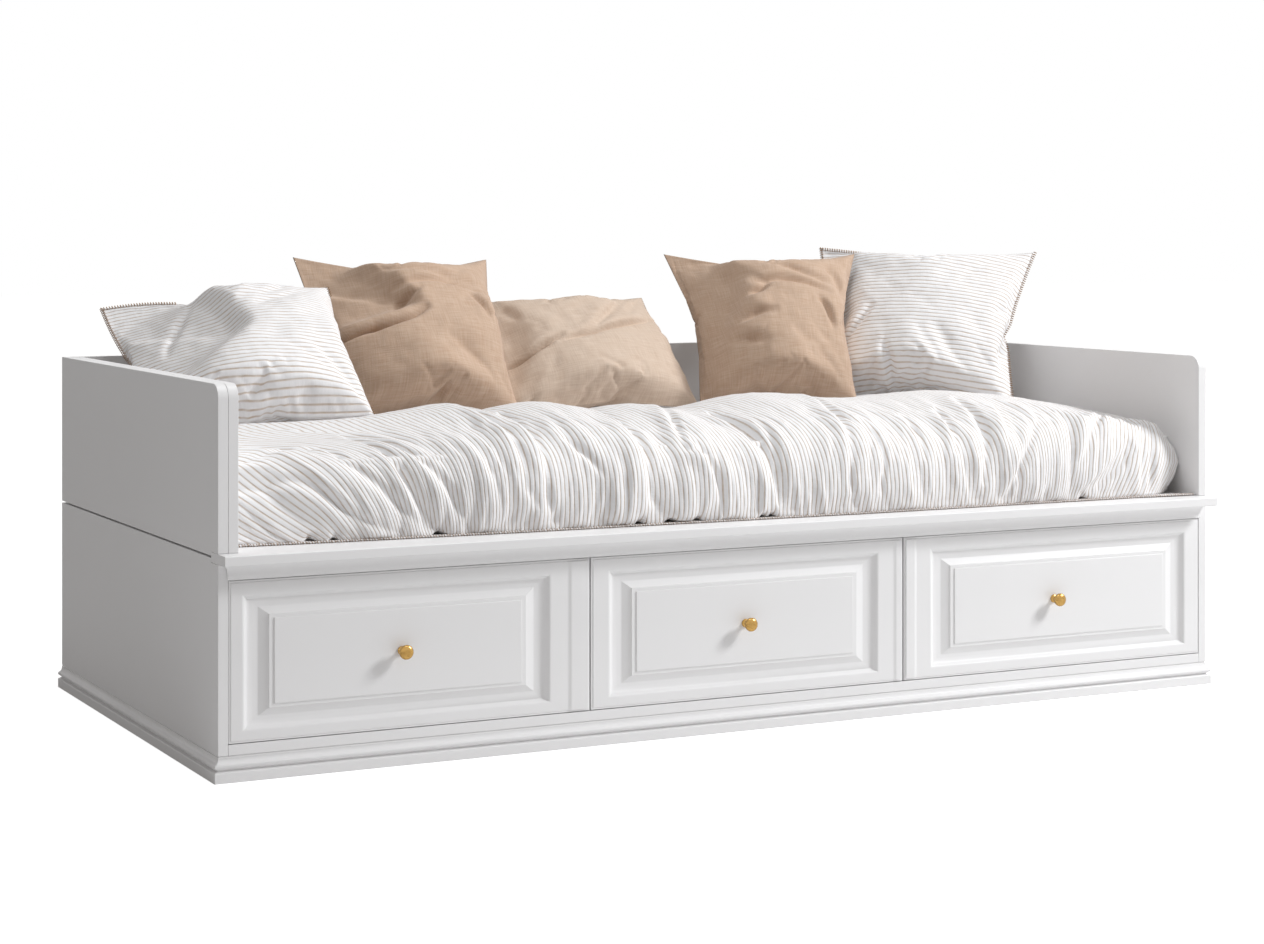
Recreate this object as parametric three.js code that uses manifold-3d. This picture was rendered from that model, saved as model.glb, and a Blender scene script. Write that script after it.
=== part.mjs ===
// Storage daybed: a white painted box bed with three raised panel drawers under a ledge,
// a moulded plinth and cornice, low sides and back, a slatted base, a mattress, a duvet
// and five pillows. Millimetres, +Z up, +X along the bed, the drawers open towards -Y.
// The origin is on the floor under the middle of the bed.
import * as THREE from 'three';
import { mergeVertices } from 'three/addons/utils/BufferGeometryUtils.js';
import Module from 'manifold-3d';

const wasm = await Module();
wasm.setup();

// The standard mattress that the box is made round
const mattressWidth = 2000;
const mattressDepth = 900;
const mattressHeight = 150;
const mattressSideGap = 13.7; // to the lining on the left and the batten on the right
const mattressBackGap = 7.9;
const mattressCorner = 40;
const cornerSteps = 4;
const mattressPipeRise = 4; // piped edge above the panel beside it
const mattressPipeFade = 12; // from the piped edge to the plain panel
const mattressCrown = 6;
const mattressCrownInset = 120; // the crown is flat this far in from the sides
const mattressWaist = 5; // the border is drawn in at mid height

// Carcass
const panelTop = 671; // top of the side boards and the back
const board = 18; // thickness of every carcass board
const fit = 0.3; // gap between two pieces that touch
const cornerRadius = 26; // rounded front top corner of the sides
const roundSteps = 8;
const cutOverrun = 5;
const seamGap = 3.4; // shadow gap between the lower and upper side boards
const seamBelowLedgeTop = 8.5; // middle of that gap below the top of the ledge
const battenTop = 500; // top of the batten that joins the right side boards

// Ledge in front of the mattress
const ledgeTop = 385;
const ledgeOverhang = 38; // past the front edges of the side boards
const ledgeLetIn = 38; // how far the ledge is let into the side boards
const ledgeDepth = 136.5; // front edge to the mattress
const ledgeEdgeRound = 1.5;

// Plinth frame under the boards
const plinthHeight = 44.2;
const plinthProjection = 8;
// The plinth's moulded face from the floor up: share of the projection, share of the height
const plinthFaceShares = [
  [1, 0], [1, 0.385], [0.92, 0.405], [0.15, 0.445], [0.15, 0.48], [0.45, 0.52], [0.85, 0.57],
  [1, 0.62], [0.96, 0.675], [0.8, 0.705], [0.6, 0.715], [0.34, 0.745], [0.16, 0.79], [0.08, 0.845],
  [0.06, 0.875], [0, 0.875], [0, 0.965], [-0.18, 0.975], [-0.18, 1],
];

// Cornice under the ledge
const corniceHeight = 27;
const corniceProjection = 6.5;
// The cornice's face from its foot up: share of the projection, share of the height
const corniceFaceShares = [
  [0.24, 0], [0.24, 0.08], [0.36, 0.09], [0.36, 0.185], [0.42, 0.2], [0.44, 0.38], [0.52, 0.55],
  [0.66, 0.7], [0.86, 0.82], [1, 0.87], [1, 1],
];

// Rails and partitions
const topRailHeight = 62;
const bottomRailDepth = 70;
// Middle of each partition from the outer face of the left side board: share of the body's width
const partitionShares = [0.3319, 0.65024];
const ledgerWidth = 60;
const ledgerHeight = 30;
const slatThickness = 17.7;
const slatWidth = 100;
const slatCount = 10;
const slatUnderLedge = 30; // how far the slats reach in under the ledge

// Drawer fronts
const frontThickness = 22;
const frontGap = 3.4; // between neighbouring fronts
const frontSideGap = 1; // between a front and a side board
const frontTopGap = 1.4;
const frontBottomGap = 1.6;
const edgeBeadWidth = 3.4; // fine step round the edge of a front
const edgeBeadDrop = 1.3;
const edgeBeadSlope = 0.8;
const railLow = 19; // flat frame below the raised panel
const railHigh = 24; // flat frame above it
const mouldingSide = 60; // moulding width at the stiles
const mouldingRail = 44; // moulding width at the rails
const mouldingDepth = 10;
// The moulding from the flat frame in to the raised field: share of its width, share of its depth
const mouldingShares = [
  [0, 0], [0.035, 0.03], [0.075, 0.13], [0.1, 0.34], [0.118, 0.42], [0.15, 0.6], [0.2, 0.76],
  [0.27, 0.88], [0.36, 0.96], [0.5, 1], [0.53, 0.98], [0.81, 0.42], [0.82, 0.26], [0.96, 0.24],
  [0.97, 0.07], [1, 0.05],
];
const bandRise = 2; // soft raised band beside a partition, above the flat frame
const bandSoftEdge = 9;
const bandRoot = 1; // how deep the band is let into the front
const bandWidth = 44; // the widest of the bands
const stileFlat = 32; // flat frame between the moulding and the band or edge
// The band's soft edge: share of its width, share of the rise
const bandEdgeShares = [[0, 0], [0.15, 0.06], [0.35, 0.3], [0.5, 0.55], [0.7, 0.86], [0.85, 0.97], [1, 1]];
// One row for each drawer from the left: its flat stiles, raised bands, and the knob's place on
// the front's width
const drawerFaceShares = [
  { stileLeft: 0.72, stileRight: 1, bandLeft: 0, bandRight: 1, knob: 0.4628 },
  { stileLeft: 1.06, stileRight: 0.97, bandLeft: 0, bandRight: 0.5, knob: 0.4801 },
  { stileLeft: 0.91, stileRight: 1.03, bandLeft: 0.68, bandRight: 0, knob: 0.4928 },
];

// Drawer boxes
const boxSideThickness = 15;
const boxTopGap = 23.6; // to the underside of the top rail
const boxDepth = 600;
const boxLift = 12; // underside of the box above the lower edge of the front
const boxBackThickness = 15;
const boxBottomThickness = 6;
const boxBottomLift = 10; // bottom panel above the lower edge of the sides
const bottomGrooveDepth = 5;
const grooveClearance = 0.3;
const sideClearance = 9; // between a drawer box and the compartment wall
const runnerHeight = 20;
const runnerGrooveDepth = 7;
const runnerSlack = 1; // beside and below the runner in its groove
const runnerSetBack = 6; // runner behind the drawer front
const runnerEndGap = 20; // the runner ends this far before the box does
const runnerEase = 2;
const runnerLift = 95; // underside of the runner above the lower edge of the box sides

// Knobs
const knobRadius = 12.8;
const knobProjection = 28;
// Turned profile from the drawer front out: share of the radius, share of the projection
const knobShares = [
  [0.62, 0], [0.62, 0.055], [0.55, 0.09], [0.4, 0.14], [0.33, 0.24], [0.34, 0.34], [0.42, 0.42],
  [0.62, 0.49], [0.85, 0.57], [0.97, 0.67], [1, 0.77], [0.95, 0.86], [0.8, 0.93], [0.55, 0.98], [0.25, 1],
];
const studRadius = 2;
const studClearance = 0.3;
const screwHeadRadius = 4.2;
const screwHeadHeight = 2.4;
const knobSegments = 20;
const studSegments = 12;

// Duvet
const duvetGap = 0.4;
const duvetHemThickness = 4;
const duvetColumns = 46;
const duvetEndGap = 4; // from its right end to the side board
const duvetCrestLoft = 80.7; // highest part of the cloth above the mattress
const duvetEvenLoft = 62.7; // loft of the crest where it neither rises nor sinks
const duvetBackLoft = 19.7; // its flat part under the pillows
const duvetBulge = 73; // how far the drape swells in front of the mattress
const duvetHemTuck = 8; // hem behind the fullest part of the drape
const duvetSpreadShare = 0.3; // how much of a rise of the crest the drape below it swells by
// Along the bed: share of the way from the middle to an end, share of the crest's loft
const duvetCrestShares = [
  [-1, 0.53], [-0.864, 0.62], [-0.6, 0.74], [-0.529, 0.86], [-0.444, 0.95], [-0.387, 0.74],
  [-0.342, 0.86], [-0.268, 0.95], [-0.155, 0.69], [-0.069, 0.83], [0.033, 0.64], [0.093, 0.79],
  [0.196, 1], [0.275, 0.95], [0.334, 0.85], [0.44, 0.8], [0.621, 0.9], [0.707, 0.77],
  [0.808, 0.62], [0.91, 0.47], [1, 0.4],
];
// Along the bed: share of the way from the middle to an end, share of the bulge
const duvetBulgeShares = [[-1, 0.22], [-0.6, 0.6], [-0.227, 0.81], [0.23, 1], [1, 1]];
// Over the mattress from the back: share of the way to its front edge, share of the rise from the
// height at the back to the crest
const duvetTopShares = [
  [0, 0], [0.34, 0.05], [0.48, 0.36], [0.58, 0.8], [0.68, 1], [0.8, 0.9], [0.9, 0.65], [1, 0.25],
];
// Down the drape: share of the drop, share of the bulge
const duvetDropShares = [[0.15, 0.54], [0.35, 0.9], [0.7, 1], [0.95, 0.95]];
const endFullnessShare = 0.35;
const endFullnessPower = 18;

// Pillows
const pillowGrid = 12;
const pillowSeam = 4; // thickness at the sewn edge
const pillowPull = 0.07; // share by which the sides are drawn in between the corners
const pillowPlump = 0.42; // how fast the thickness grows from the seam
const pillowSag = 0.22; // share by which the filling gathers low down
const pillowHeight = 380;
const seatTolerance = 0.05; // how exactly a pillow is let down onto the duvet
// One row for each pillow. Shares of the mattress's width: foot place from the middle of the bed,
// width, and taper of the foot. Shares of the pillow height: foot place from the back's inner
// face, height and loft. The angles are in degrees.
const pillowShares = [
  { name: 'pillow_striped_left', across: -0.382, out: 0.984, roll: -8, turn: -12, lean: 52,
    width: 0.238, height: 1, loft: 0.326, taper: 0.02, cloth: 'striped' },
  { name: 'pillow_tan_left', across: -0.177, out: 0.547, roll: 1, turn: -1, lean: 32,
    width: 0.223, height: 1.005, loft: 0.358, taper: 0.02, cloth: 'tan' },
  { name: 'pillow_tan_middle', across: 0.043, out: 0.621, roll: 0, turn: 3, lean: 43,
    width: 0.199, height: 0.832, loft: 0.342, taper: 0.02, cloth: 'tan' },
  { name: 'pillow_tan_right', across: 0.224, out: 0.847, roll: 0, turn: -17, lean: 31,
    width: 0.215, height: 0.99, loft: 0.321, taper: 0.13, cloth: 'tan' },
  { name: 'pillow_striped_right', across: 0.359, out: 0.963, roll: 1, turn: -44, lean: 34,
    width: 0.248, height: 0.99, loft: 0.274, taper: 0.06, cloth: 'striped' },
];

// Places that follow from the sizes above
const bodyWidth = mattressWidth + 2 * (mattressSideGap + board + fit + board);
const bodyDepth = ledgeDepth - ledgeOverhang + fit + mattressDepth + mattressBackGap + fit + board;
const halfWidth = bodyWidth / 2;
const frontY = (ledgeOverhang - bodyDepth) / 2;
const backY = frontY + bodyDepth;
const wallX = halfWidth - board; // inner face of a side board
const seamMiddle = ledgeTop - seamBelowLedgeTop;
const lowerTop = seamMiddle - seamGap / 2;
const upperFoot = seamMiddle + seamGap / 2;
const boardFoot = plinthHeight + fit;
const ledgeUnder = ledgeTop - board;
const ledgeRearY = frontY - ledgeOverhang + ledgeDepth;
const ledgeLetInY = frontY + ledgeLetIn;
const backInnerY = backY - board - fit;
const slatTop = ledgeUnder - fit;
const slatUnder = slatTop - slatThickness;
const ledgerTop = slatUnder - fit;
const ledgerUnder = ledgerTop - ledgerHeight;
const liningX = wallX - fit - board;
const bottomRailTop = boardFoot + board;
const frontLow = bottomRailTop + frontBottomGap;
const corniceFoot = ledgeUnder - fit - corniceHeight;
const frontHigh = corniceFoot - frontTopGap;
const frontHeight = frontHigh - frontLow;
const behindFrontsY = frontY + frontThickness + fit;
const topRailTop = ledgeUnder - fit;
const topRailUnder = topRailTop - topRailHeight;
const boxSideHeight = topRailUnder - boxTopGap - frontLow - boxLift;
const runnerLength = boxDepth - runnerEndGap;
const mattressUnder = ledgeUnder + fit;
const mattressTop = mattressUnder + mattressHeight;
const mattressFrontY = ledgeRearY + fit;

const daybed = new THREE.Group();
const paint = () => new THREE.MeshStandardMaterial({ color: 0xe9e7e6, roughness: 0.45, metalness: 0 });
const melamine = () => new THREE.MeshStandardMaterial({ color: 0xf0efec, roughness: 0.5, metalness: 0 });
const birch = () => new THREE.MeshStandardMaterial({ color: 0xd9bd91, roughness: 0.6, metalness: 0 });
const brass = () => new THREE.MeshStandardMaterial({ color: 0xb98a3c, roughness: 0.3, metalness: 1 });
const ticking = () => new THREE.MeshStandardMaterial({ color: 0xf2f0ea, roughness: 0.9, metalness: 0 });
const clothOf = {
  striped: () => new THREE.MeshStandardMaterial({ color: 0xf3efe9, roughness: 0.9, metalness: 0 }),
  tan: () => new THREE.MeshStandardMaterial({ color: 0xc09c7c, roughness: 0.95, metalness: 0 }),
};

function addPiece(name, geometry, material, parent = daybed) {
  const piece = new THREE.Mesh(geometry, material);
  piece.name = name;
  parent.add(piece);
  return piece;
}

// A box between two corners
function block(low, high) {
  const size = high.map((value, axis) => value - low[axis]);
  const geometry = new THREE.BoxGeometry(size[0], size[1], size[2]);
  geometry.translate((low[0] + high[0]) / 2, (low[1] + high[1]) / 2, (low[2] + high[2]) / 2);
  return geometry;
}

// A closed body from its corner points and triangles, turned so that its faces point outwards
function closedBody(points, triangles) {
  const volume = triangles.reduce(
    (sum, [a, b, c]) => sum + points[a].dot(points[b].clone().cross(points[c])), 0);
  const faces = triangles.flatMap(([a, b, c]) => (volume > 0 ? [a, b, c] : [a, c, b]));
  const geometry = new THREE.BufferGeometry();
  geometry.setAttribute('position',
    new THREE.Float32BufferAttribute(points.flatMap((point) => point.toArray()), 3));
  geometry.setIndex(faces);
  geometry.computeVertexNormals();
  return geometry;
}

// A straight bar of one section, with each outline point carried to its own place at both ends
function bar(section, startOf, endOf) {
  const flat = section.map(([a, b]) => new THREE.Vector2(a, b));
  if (THREE.ShapeUtils.isClockWise(flat)) {
    flat.reverse();
  }
  const count = flat.length;
  const points = [startOf, endOf].flatMap((placeOf) => flat.map((point) => placeOf(point.x, point.y)));
  const triangles = [];
  flat.forEach((point, at) => {
    const next = (at + 1) % count;
    triangles.push([at, next, count + next], [at, count + next, count + at]);
  });
  for (const [a, b, c] of THREE.ShapeUtils.triangulateShape(flat, [])) {
    triangles.push([a, c, b], [count + a, count + b, count + c]);
  }
  return closedBody(points, triangles);
}

// A board or rail that runs along X, from its outline in Y and Z
function barAlongX(section, startX, endX) {
  return bar(section, (y, z) => new THREE.Vector3(startX, y, z), (y, z) => new THREE.Vector3(endX, y, z));
}

// A piece that runs along Y, from its outline in X and Z
function barAlongY(section, startY, endY) {
  return bar(section, (x, z) => new THREE.Vector3(x, startY, z), (x, z) => new THREE.Vector3(x, endY, z));
}

function solidOf(geometry) {
  const bare = geometry.clone();
  bare.deleteAttribute('normal');
  bare.deleteAttribute('uv');
  const merged = mergeVertices(bare);
  return new wasm.Manifold(new wasm.Mesh({
    numProp: 3,
    vertProperties: Float32Array.from(merged.getAttribute('position').array),
    triVerts: Uint32Array.from(merged.getIndex().array),
  }));
}

function geometryOf(solid) {
  const mesh = solid.getMesh();
  const geometry = new THREE.BufferGeometry();
  geometry.setAttribute('position', new THREE.Float32BufferAttribute(mesh.vertProperties, 3));
  geometry.setIndex(Array.from(mesh.triVerts));
  geometry.computeVertexNormals();
  return geometry;
}

// Plinth: a mitred frame whose front and ends carry the moulding, closed by a plain board behind
function plinthSection() {
  const face = plinthFaceShares.map(([out, up]) => [out * plinthProjection, up * plinthHeight]);
  return [...face, [-board, plinthHeight], [-board, 0]];
}

function addPlinth() {
  const section = plinthSection();
  const mitre = fit / 2;
  addPiece('plinth_front', bar(section,
    (out, up) => new THREE.Vector3(-halfWidth - out + mitre, frontY - out, up),
    (out, up) => new THREE.Vector3(halfWidth + out - mitre, frontY - out, up)), paint());
  for (const [side, name] of [[-1, 'plinth_left'], [1, 'plinth_right']]) {
    addPiece(name, bar(section,
      (out, up) => new THREE.Vector3(side * (halfWidth + out), frontY - out + mitre, up),
      (out, up) => new THREE.Vector3(side * (halfWidth + out), backY, up)), paint());
  }
  addPiece('plinth_back',
    block([-wallX + fit, backY - board, 0], [wallX - fit, backY, plinthHeight]), paint());
}

// Side boards: the lower and upper board of each side meet at a shadow gap, and both are
// notched at the front, where the ledge is let into them
function roundedTop(footPoints) {
  const centreY = frontY + cornerRadius;
  const centreZ = panelTop - cornerRadius;
  const corner = new THREE.Shape().absarc(centreY, centreZ, cornerRadius, Math.PI, Math.PI / 2, true);
  const arc = corner.getPoints(roundSteps).map((point) => [point.x, point.y]);
  return [...footPoints, ...arc];
}

function addSides() {
  const notchY = ledgeLetInY + fit;
  const lower = [
    [frontY, boardFoot], [backY, boardFoot], [backY, lowerTop], [notchY, lowerTop],
    [notchY, ledgeUnder - fit], [frontY, ledgeUnder - fit],
  ];
  const upper = roundedTop([[backY, panelTop], [backY, upperFoot], [notchY, upperFoot],
    [notchY, ledgeTop + fit], [frontY, ledgeTop + fit]]);
  const lining = roundedTop([[backInnerY, panelTop], [backInnerY, ledgerUnder],
    [ledgeRearY + fit, ledgerUnder], [ledgeRearY + fit, ledgeTop + fit], [frontY, ledgeTop + fit]]);
  for (const [side, name] of [[-1, 'left'], [1, 'right']]) {
    addPiece(`side_board_lower_${name}`, barAlongX(lower, side * halfWidth, side * wallX), paint());
    addPiece(`side_board_upper_${name}`, barAlongX(upper, side * halfWidth, side * wallX), paint());
  }
  addPiece('side_lining_left', barAlongX(lining, -wallX + fit, -liningX), paint());
  addPiece('side_batten_right',
    block([liningX, ledgeRearY + fit, ledgerUnder], [wallX - fit, backInnerY, battenTop]), paint());
  addPiece('back_panel',
    block([-wallX + fit, backY - board, boardFoot], [wallX - fit, backY, panelTop]), paint());
}

// Ledge: one board with eased front edges, cut back at its ends to fit the notches in the sides
function addLedge() {
  const nose = frontY - ledgeOverhang;
  const ease = ledgeEdgeRound;
  const section = [
    [ledgeRearY, ledgeUnder], [ledgeRearY, ledgeTop], [nose + ease, ledgeTop], [nose, ledgeTop - ease],
    [nose, ledgeUnder + ease], [nose + ease, ledgeUnder],
  ];
  let ledge = solidOf(barAlongX(section, -halfWidth, halfWidth));
  for (const side of [-1, 1]) {
    const inner = side * (wallX - fit);
    const outer = side * (halfWidth + cutOverrun);
    const cut = block(
      [Math.min(inner, outer), ledgeLetInY, ledgeUnder - cutOverrun],
      [Math.max(inner, outer), ledgeRearY + cutOverrun, ledgeTop + cutOverrun]);
    ledge = ledge.subtract(solidOf(cut));
  }
  addPiece('ledge_board', geometryOf(ledge), paint());
}

// Cornice: a moulding between the sides whose proud face returns over their front edges
function addCornice() {
  const reach = wallX - fit;
  const face = corniceFaceShares.map(
    ([out, up]) => [out * corniceProjection, corniceFoot + up * corniceHeight]);
  const proud = [...face, [0, corniceFoot + corniceHeight], [0, corniceFoot]];
  const moulded = solidOf(bar(proud,
    (out, up) => new THREE.Vector3(-reach - out, frontY - out, up),
    (out, up) => new THREE.Vector3(reach + out, frontY - out, up)));
  const core = solidOf(block([-reach, frontY, corniceFoot],
    [reach, behindFrontsY - fit, corniceFoot + corniceHeight]));
  addPiece('cornice_moulding', geometryOf(moulded.add(core)), paint());
}

// Rails, partitions and the slatted base inside the carcass
function addFrame() {
  const reach = wallX - fit;
  addPiece('front_top_rail', block([-reach, behindFrontsY, topRailUnder],
    [reach, behindFrontsY + board, topRailTop]), paint());
  addPiece('front_bottom_rail', block([-reach, frontY, boardFoot],
    [reach, frontY + bottomRailDepth, bottomRailTop]), paint());
  const railRear = frontY + bottomRailDepth + fit;
  const topNotchY = behindFrontsY + board + fit;
  const outline = [
    [behindFrontsY, bottomRailTop + fit], [railRear, bottomRailTop + fit], [railRear, 0],
    [backY - board - fit, 0], [backY - board - fit, ledgerUnder - fit],
    [topNotchY, ledgerUnder - fit], [topNotchY, topRailUnder - fit], [behindFrontsY, topRailUnder - fit],
  ];
  partitionShares.forEach((share, at) => {
    const middle = share * bodyWidth - halfWidth;
    addPiece(`partition_${at + 1}`,
      barAlongX(outline, middle - board / 2, middle + board / 2), paint());
  });
  const ledgerEnd = liningX - fit;
  const slatFrontY = ledgeRearY - slatUnderLedge;
  addPiece('slat_ledger_front', block([-ledgerEnd, slatFrontY, ledgerUnder],
    [ledgerEnd, slatFrontY + ledgerWidth, ledgerTop]), birch());
  addPiece('slat_ledger_back', block([-ledgerEnd, backInnerY - ledgerWidth, ledgerUnder],
    [ledgerEnd, backInnerY, ledgerTop]), birch());
  const pitch = (2 * liningX) / slatCount;
  for (let at = 0; at < slatCount; at += 1) {
    const slat = addPiece(`slat_${at + 1}`,
      new THREE.BoxGeometry(slatWidth, backInnerY - slatFrontY, slatThickness), birch());
    const x = (at + 0.5) * pitch - liningX;
    slat.position.set(x, (slatFrontY + backInnerY) / 2, slatUnder + slatThickness / 2);
  }
}

// Drawer front: rings of four corners step from the back, round the edge and in over the
// moulding to the raised field
function raisedPanelFront(width, stileLeft, stileRight) {
  const rings = [];
  const ring = (left, right, low, high, depth) => rings.push([
    [left, low], [width - right, low], [width - right, frontHeight - high], [left, frontHeight - high],
  ].map(([x, z]) => new THREE.Vector3(x, depth, z)));
  ring(0, 0, 0, 0, frontThickness);
  ring(0, 0, 0, 0, edgeBeadDrop);
  ring(edgeBeadWidth, edgeBeadWidth, edgeBeadWidth, edgeBeadWidth, edgeBeadDrop);
  const bead = edgeBeadWidth + edgeBeadSlope;
  ring(bead, bead, bead, bead, 0);
  for (const [across, down] of mouldingShares) {
    const side = across * mouldingSide;
    const rail = across * mouldingRail;
    ring(stileLeft + side, stileRight + side, railLow + rail, railHigh + rail, down * mouldingDepth);
  }
  const corners = rings[0].length;
  const triangles = [[0, 1, 2], [0, 2, 3]];
  for (let at = 0; at + 1 < rings.length; at += 1) {
    for (let corner = 0; corner < corners; corner += 1) {
      const here = at * corners + corner;
      const beside = at * corners + ((corner + 1) % corners);
      triangles.push([here, here + corners, beside + corners], [here, beside + corners, beside]);
    }
  }
  const last = (rings.length - 1) * corners;
  triangles.push([last, last + 2, last + 1], [last, last + 3, last + 2]);
  return closedBody(rings.flat(), triangles);
}

// The soft raised band beside a partition, from its foot on the flat frame to the front's edge
function stileBand(footX, edgeX) {
  const towards = Math.sign(edgeX - footX);
  const soft = bandEdgeShares.map(
    ([across, up]) => [footX + towards * across * bandSoftEdge, -up * bandRise]);
  const section = [[footX, bandRoot], ...soft, [edgeX, -bandRise], [edgeX, bandRoot]];
  const inset = edgeBeadWidth + edgeBeadSlope;
  return bar(section, (x, y) => new THREE.Vector3(x, y, inset),
    (x, y) => new THREE.Vector3(x, y, frontHeight - inset));
}

// A cylinder along Y between two depths
function rod(radius, startY, endY, segments) {
  const geometry = new THREE.CylinderGeometry(radius, radius, endY - startY, segments);
  geometry.translate(0, (startY + endY) / 2, 0);
  return geometry;
}

function drawerFront(width, face, knobX, knobZ) {
  const bandLeft = face.bandLeft * bandWidth;
  const bandRight = face.bandRight * bandWidth;
  const flatLeft = face.stileLeft * stileFlat + bandLeft;
  const flatRight = face.stileRight * stileFlat + bandRight;
  let front = solidOf(raisedPanelFront(width, flatLeft, flatRight));
  const inset = edgeBeadWidth + edgeBeadSlope;
  if (bandRight > 0) {
    front = front.add(solidOf(stileBand(width - bandRight, width - inset)));
  }
  if (bandLeft > 0) {
    front = front.add(solidOf(stileBand(bandLeft, inset)));
  }
  const hole = rod(studRadius + studClearance, -cutOverrun, frontThickness + cutOverrun, studSegments);
  hole.translate(knobX, 0, knobZ);
  return geometryOf(front.subtract(solidOf(hole)));
}

// A turned knob with the screw that holds it through the front
function knobGeometry(faceDepth) {
  const inside = -frontThickness + faceDepth - fit;
  const screwEnd = inside - screwHeadHeight;
  const turned = knobShares.map(([out, along]) => [out * knobRadius, along * knobProjection]);
  const profile = [
    [0, screwEnd], [screwHeadRadius, screwEnd], [screwHeadRadius, inside], [studRadius, inside],
    [studRadius, 0], ...turned, [0, knobProjection],
  ].map(([radius, along]) => new THREE.Vector2(radius, along));
  const turnedBody = new THREE.LatheGeometry(profile, knobSegments);
  turnedBody.deleteAttribute('normal');
  turnedBody.deleteAttribute('uv');
  const merged = mergeVertices(turnedBody);
  merged.rotateX(Math.PI);
  const position = merged.getAttribute('position');
  const points = [];
  for (let at = 0; at < position.count; at += 1) {
    points.push(new THREE.Vector3().fromBufferAttribute(position, at));
  }
  const faces = merged.getIndex().array;
  const triangles = [];
  for (let at = 0; at < faces.length; at += 3) {
    const [a, b, c] = [faces[at], faces[at + 1], faces[at + 2]];
    if (a !== b && b !== c && c !== a) {
      triangles.push([a, b, c]);
    }
  }
  return closedBody(points, triangles);
}

// Side of a drawer box: grooved outside for the runner and inside for the bottom panel
function boxSide(outerX, inward) {
  const foot = boxLift;
  const grooveFoot = foot + runnerLift - runnerSlack;
  const grooveTop = foot + runnerLift + runnerHeight + fit;
  const slotFoot = foot + boxBottomLift;
  const slotTop = slotFoot + boxBottomThickness + 2 * grooveClearance;
  const slotX = boxSideThickness - bottomGrooveDepth;
  const outline = [
    [0, foot], [0, grooveFoot], [runnerGrooveDepth, grooveFoot], [runnerGrooveDepth, grooveTop],
    [0, grooveTop], [0, foot + boxSideHeight], [boxSideThickness, foot + boxSideHeight],
    [boxSideThickness, slotTop], [slotX, slotTop], [slotX, slotFoot], [boxSideThickness, slotFoot],
    [boxSideThickness, foot],
  ].map(([x, z]) => [outerX + inward * x, z]);
  return barAlongY(outline, frontThickness + fit, frontThickness + fit + boxDepth);
}

// A drawer: moulded front, two grooved sides, back, bottom and knob, in a group whose origin
// is the lower left corner of the front's face
function addDrawer(number, wallLeft, wallRight, frontLeft, frontRight, face) {
  const drawer = new THREE.Group();
  drawer.position.set(frontLeft, frontY, frontLow);
  daybed.add(drawer);
  const width = frontRight - frontLeft;
  const name = `drawer_${number}`;
  const knobX = face.knob * width;
  const knobZ = (railLow + frontHeight - railHigh) / 2;
  addPiece(`${name}_front`, drawerFront(width, face, knobX, knobZ), paint(), drawer);
  const fieldDepth = mouldingShares[mouldingShares.length - 1][1] * mouldingDepth;
  const knob = addPiece(`${name}_knob`, knobGeometry(fieldDepth), brass(), drawer);
  knob.position.set(knobX, fieldDepth - fit, knobZ);

  const outerLeft = wallLeft + sideClearance - frontLeft;
  const outerRight = wallRight - sideClearance - frontLeft;
  addPiece(`${name}_side_left`, boxSide(outerLeft, 1), melamine(), drawer);
  addPiece(`${name}_side_right`, boxSide(outerRight, -1), melamine(), drawer);
  const innerLeft = outerLeft + boxSideThickness;
  const innerRight = outerRight - boxSideThickness;
  const bottomUnder = boxLift + boxBottomLift + grooveClearance;
  const bottomTop = bottomUnder + boxBottomThickness;
  const boxFrontY = frontThickness + fit;
  const boxBackY = boxFrontY + boxDepth;
  const tongue = bottomGrooveDepth - grooveClearance;
  addPiece(`${name}_bottom`, block([innerLeft - tongue, boxFrontY, bottomUnder],
    [innerRight + tongue, boxBackY, bottomTop]), melamine(), drawer);
  addPiece(`${name}_back`, block([innerLeft + fit, boxBackY - boxBackThickness, bottomTop + fit],
    [innerRight - fit, boxBackY, boxLift + boxSideHeight]), melamine(), drawer);

  const runnerUnder = frontLow + boxLift + runnerLift;
  const runnerReach = sideClearance + runnerGrooveDepth - runnerSlack;
  const runnerSection = [
    [fit, 0], [runnerReach - runnerEase, 0], [runnerReach, runnerEase],
    [runnerReach, runnerHeight - runnerEase], [runnerReach - runnerEase, runnerHeight], [fit, runnerHeight],
  ];
  const runnerStart = behindFrontsY + runnerSetBack;
  for (const [wall, inward, side] of [[wallLeft, 1, 'left'], [wallRight, -1, 'right']]) {
    const section = runnerSection.map(([x, z]) => [wall + inward * x, runnerUnder + z]);
    addPiece(`runner_${number}_${side}`,
      barAlongY(section, runnerStart, runnerStart + runnerLength), birch());
  }
}

function addDrawers() {
  const middles = partitionShares.map((share) => share * bodyWidth - halfWidth);
  const eitherSide = (gap) => middles.flatMap((middle) => [middle - gap / 2, middle + gap / 2]);
  const walls = [-wallX, ...eitherSide(board), wallX];
  const edges = [-wallX + frontSideGap, ...eitherSide(frontGap), wallX - frontSideGap];
  drawerFaceShares.forEach((face, at) => {
    addDrawer(at + 1, walls[2 * at], walls[2 * at + 1], edges[2 * at], edges[2 * at + 1], face);
  });
}

// Mattress: rounded corners, piped edges above and below, a drawn-in border and a slight crown,
// as rings from the underside up with their inset from its full size and their height
function mattressRings() {
  const low = mattressUnder;
  const high = mattressTop - mattressCrown;
  return [
    [mattressCorner, low], [mattressPipeRise, low], [0, low + mattressPipeRise],
    [mattressWaist, low + mattressPipeFade], [mattressWaist + mattressPipeRise, (low + high) / 2],
    [mattressWaist, high - mattressPipeFade], [0, high - mattressPipeRise], [mattressPipeRise, high],
    [mattressPipeFade, high - mattressPipeRise / 2], [mattressCorner, high + mattressCrown / 2],
    [mattressCrownInset, mattressTop],
  ];
}

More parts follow.
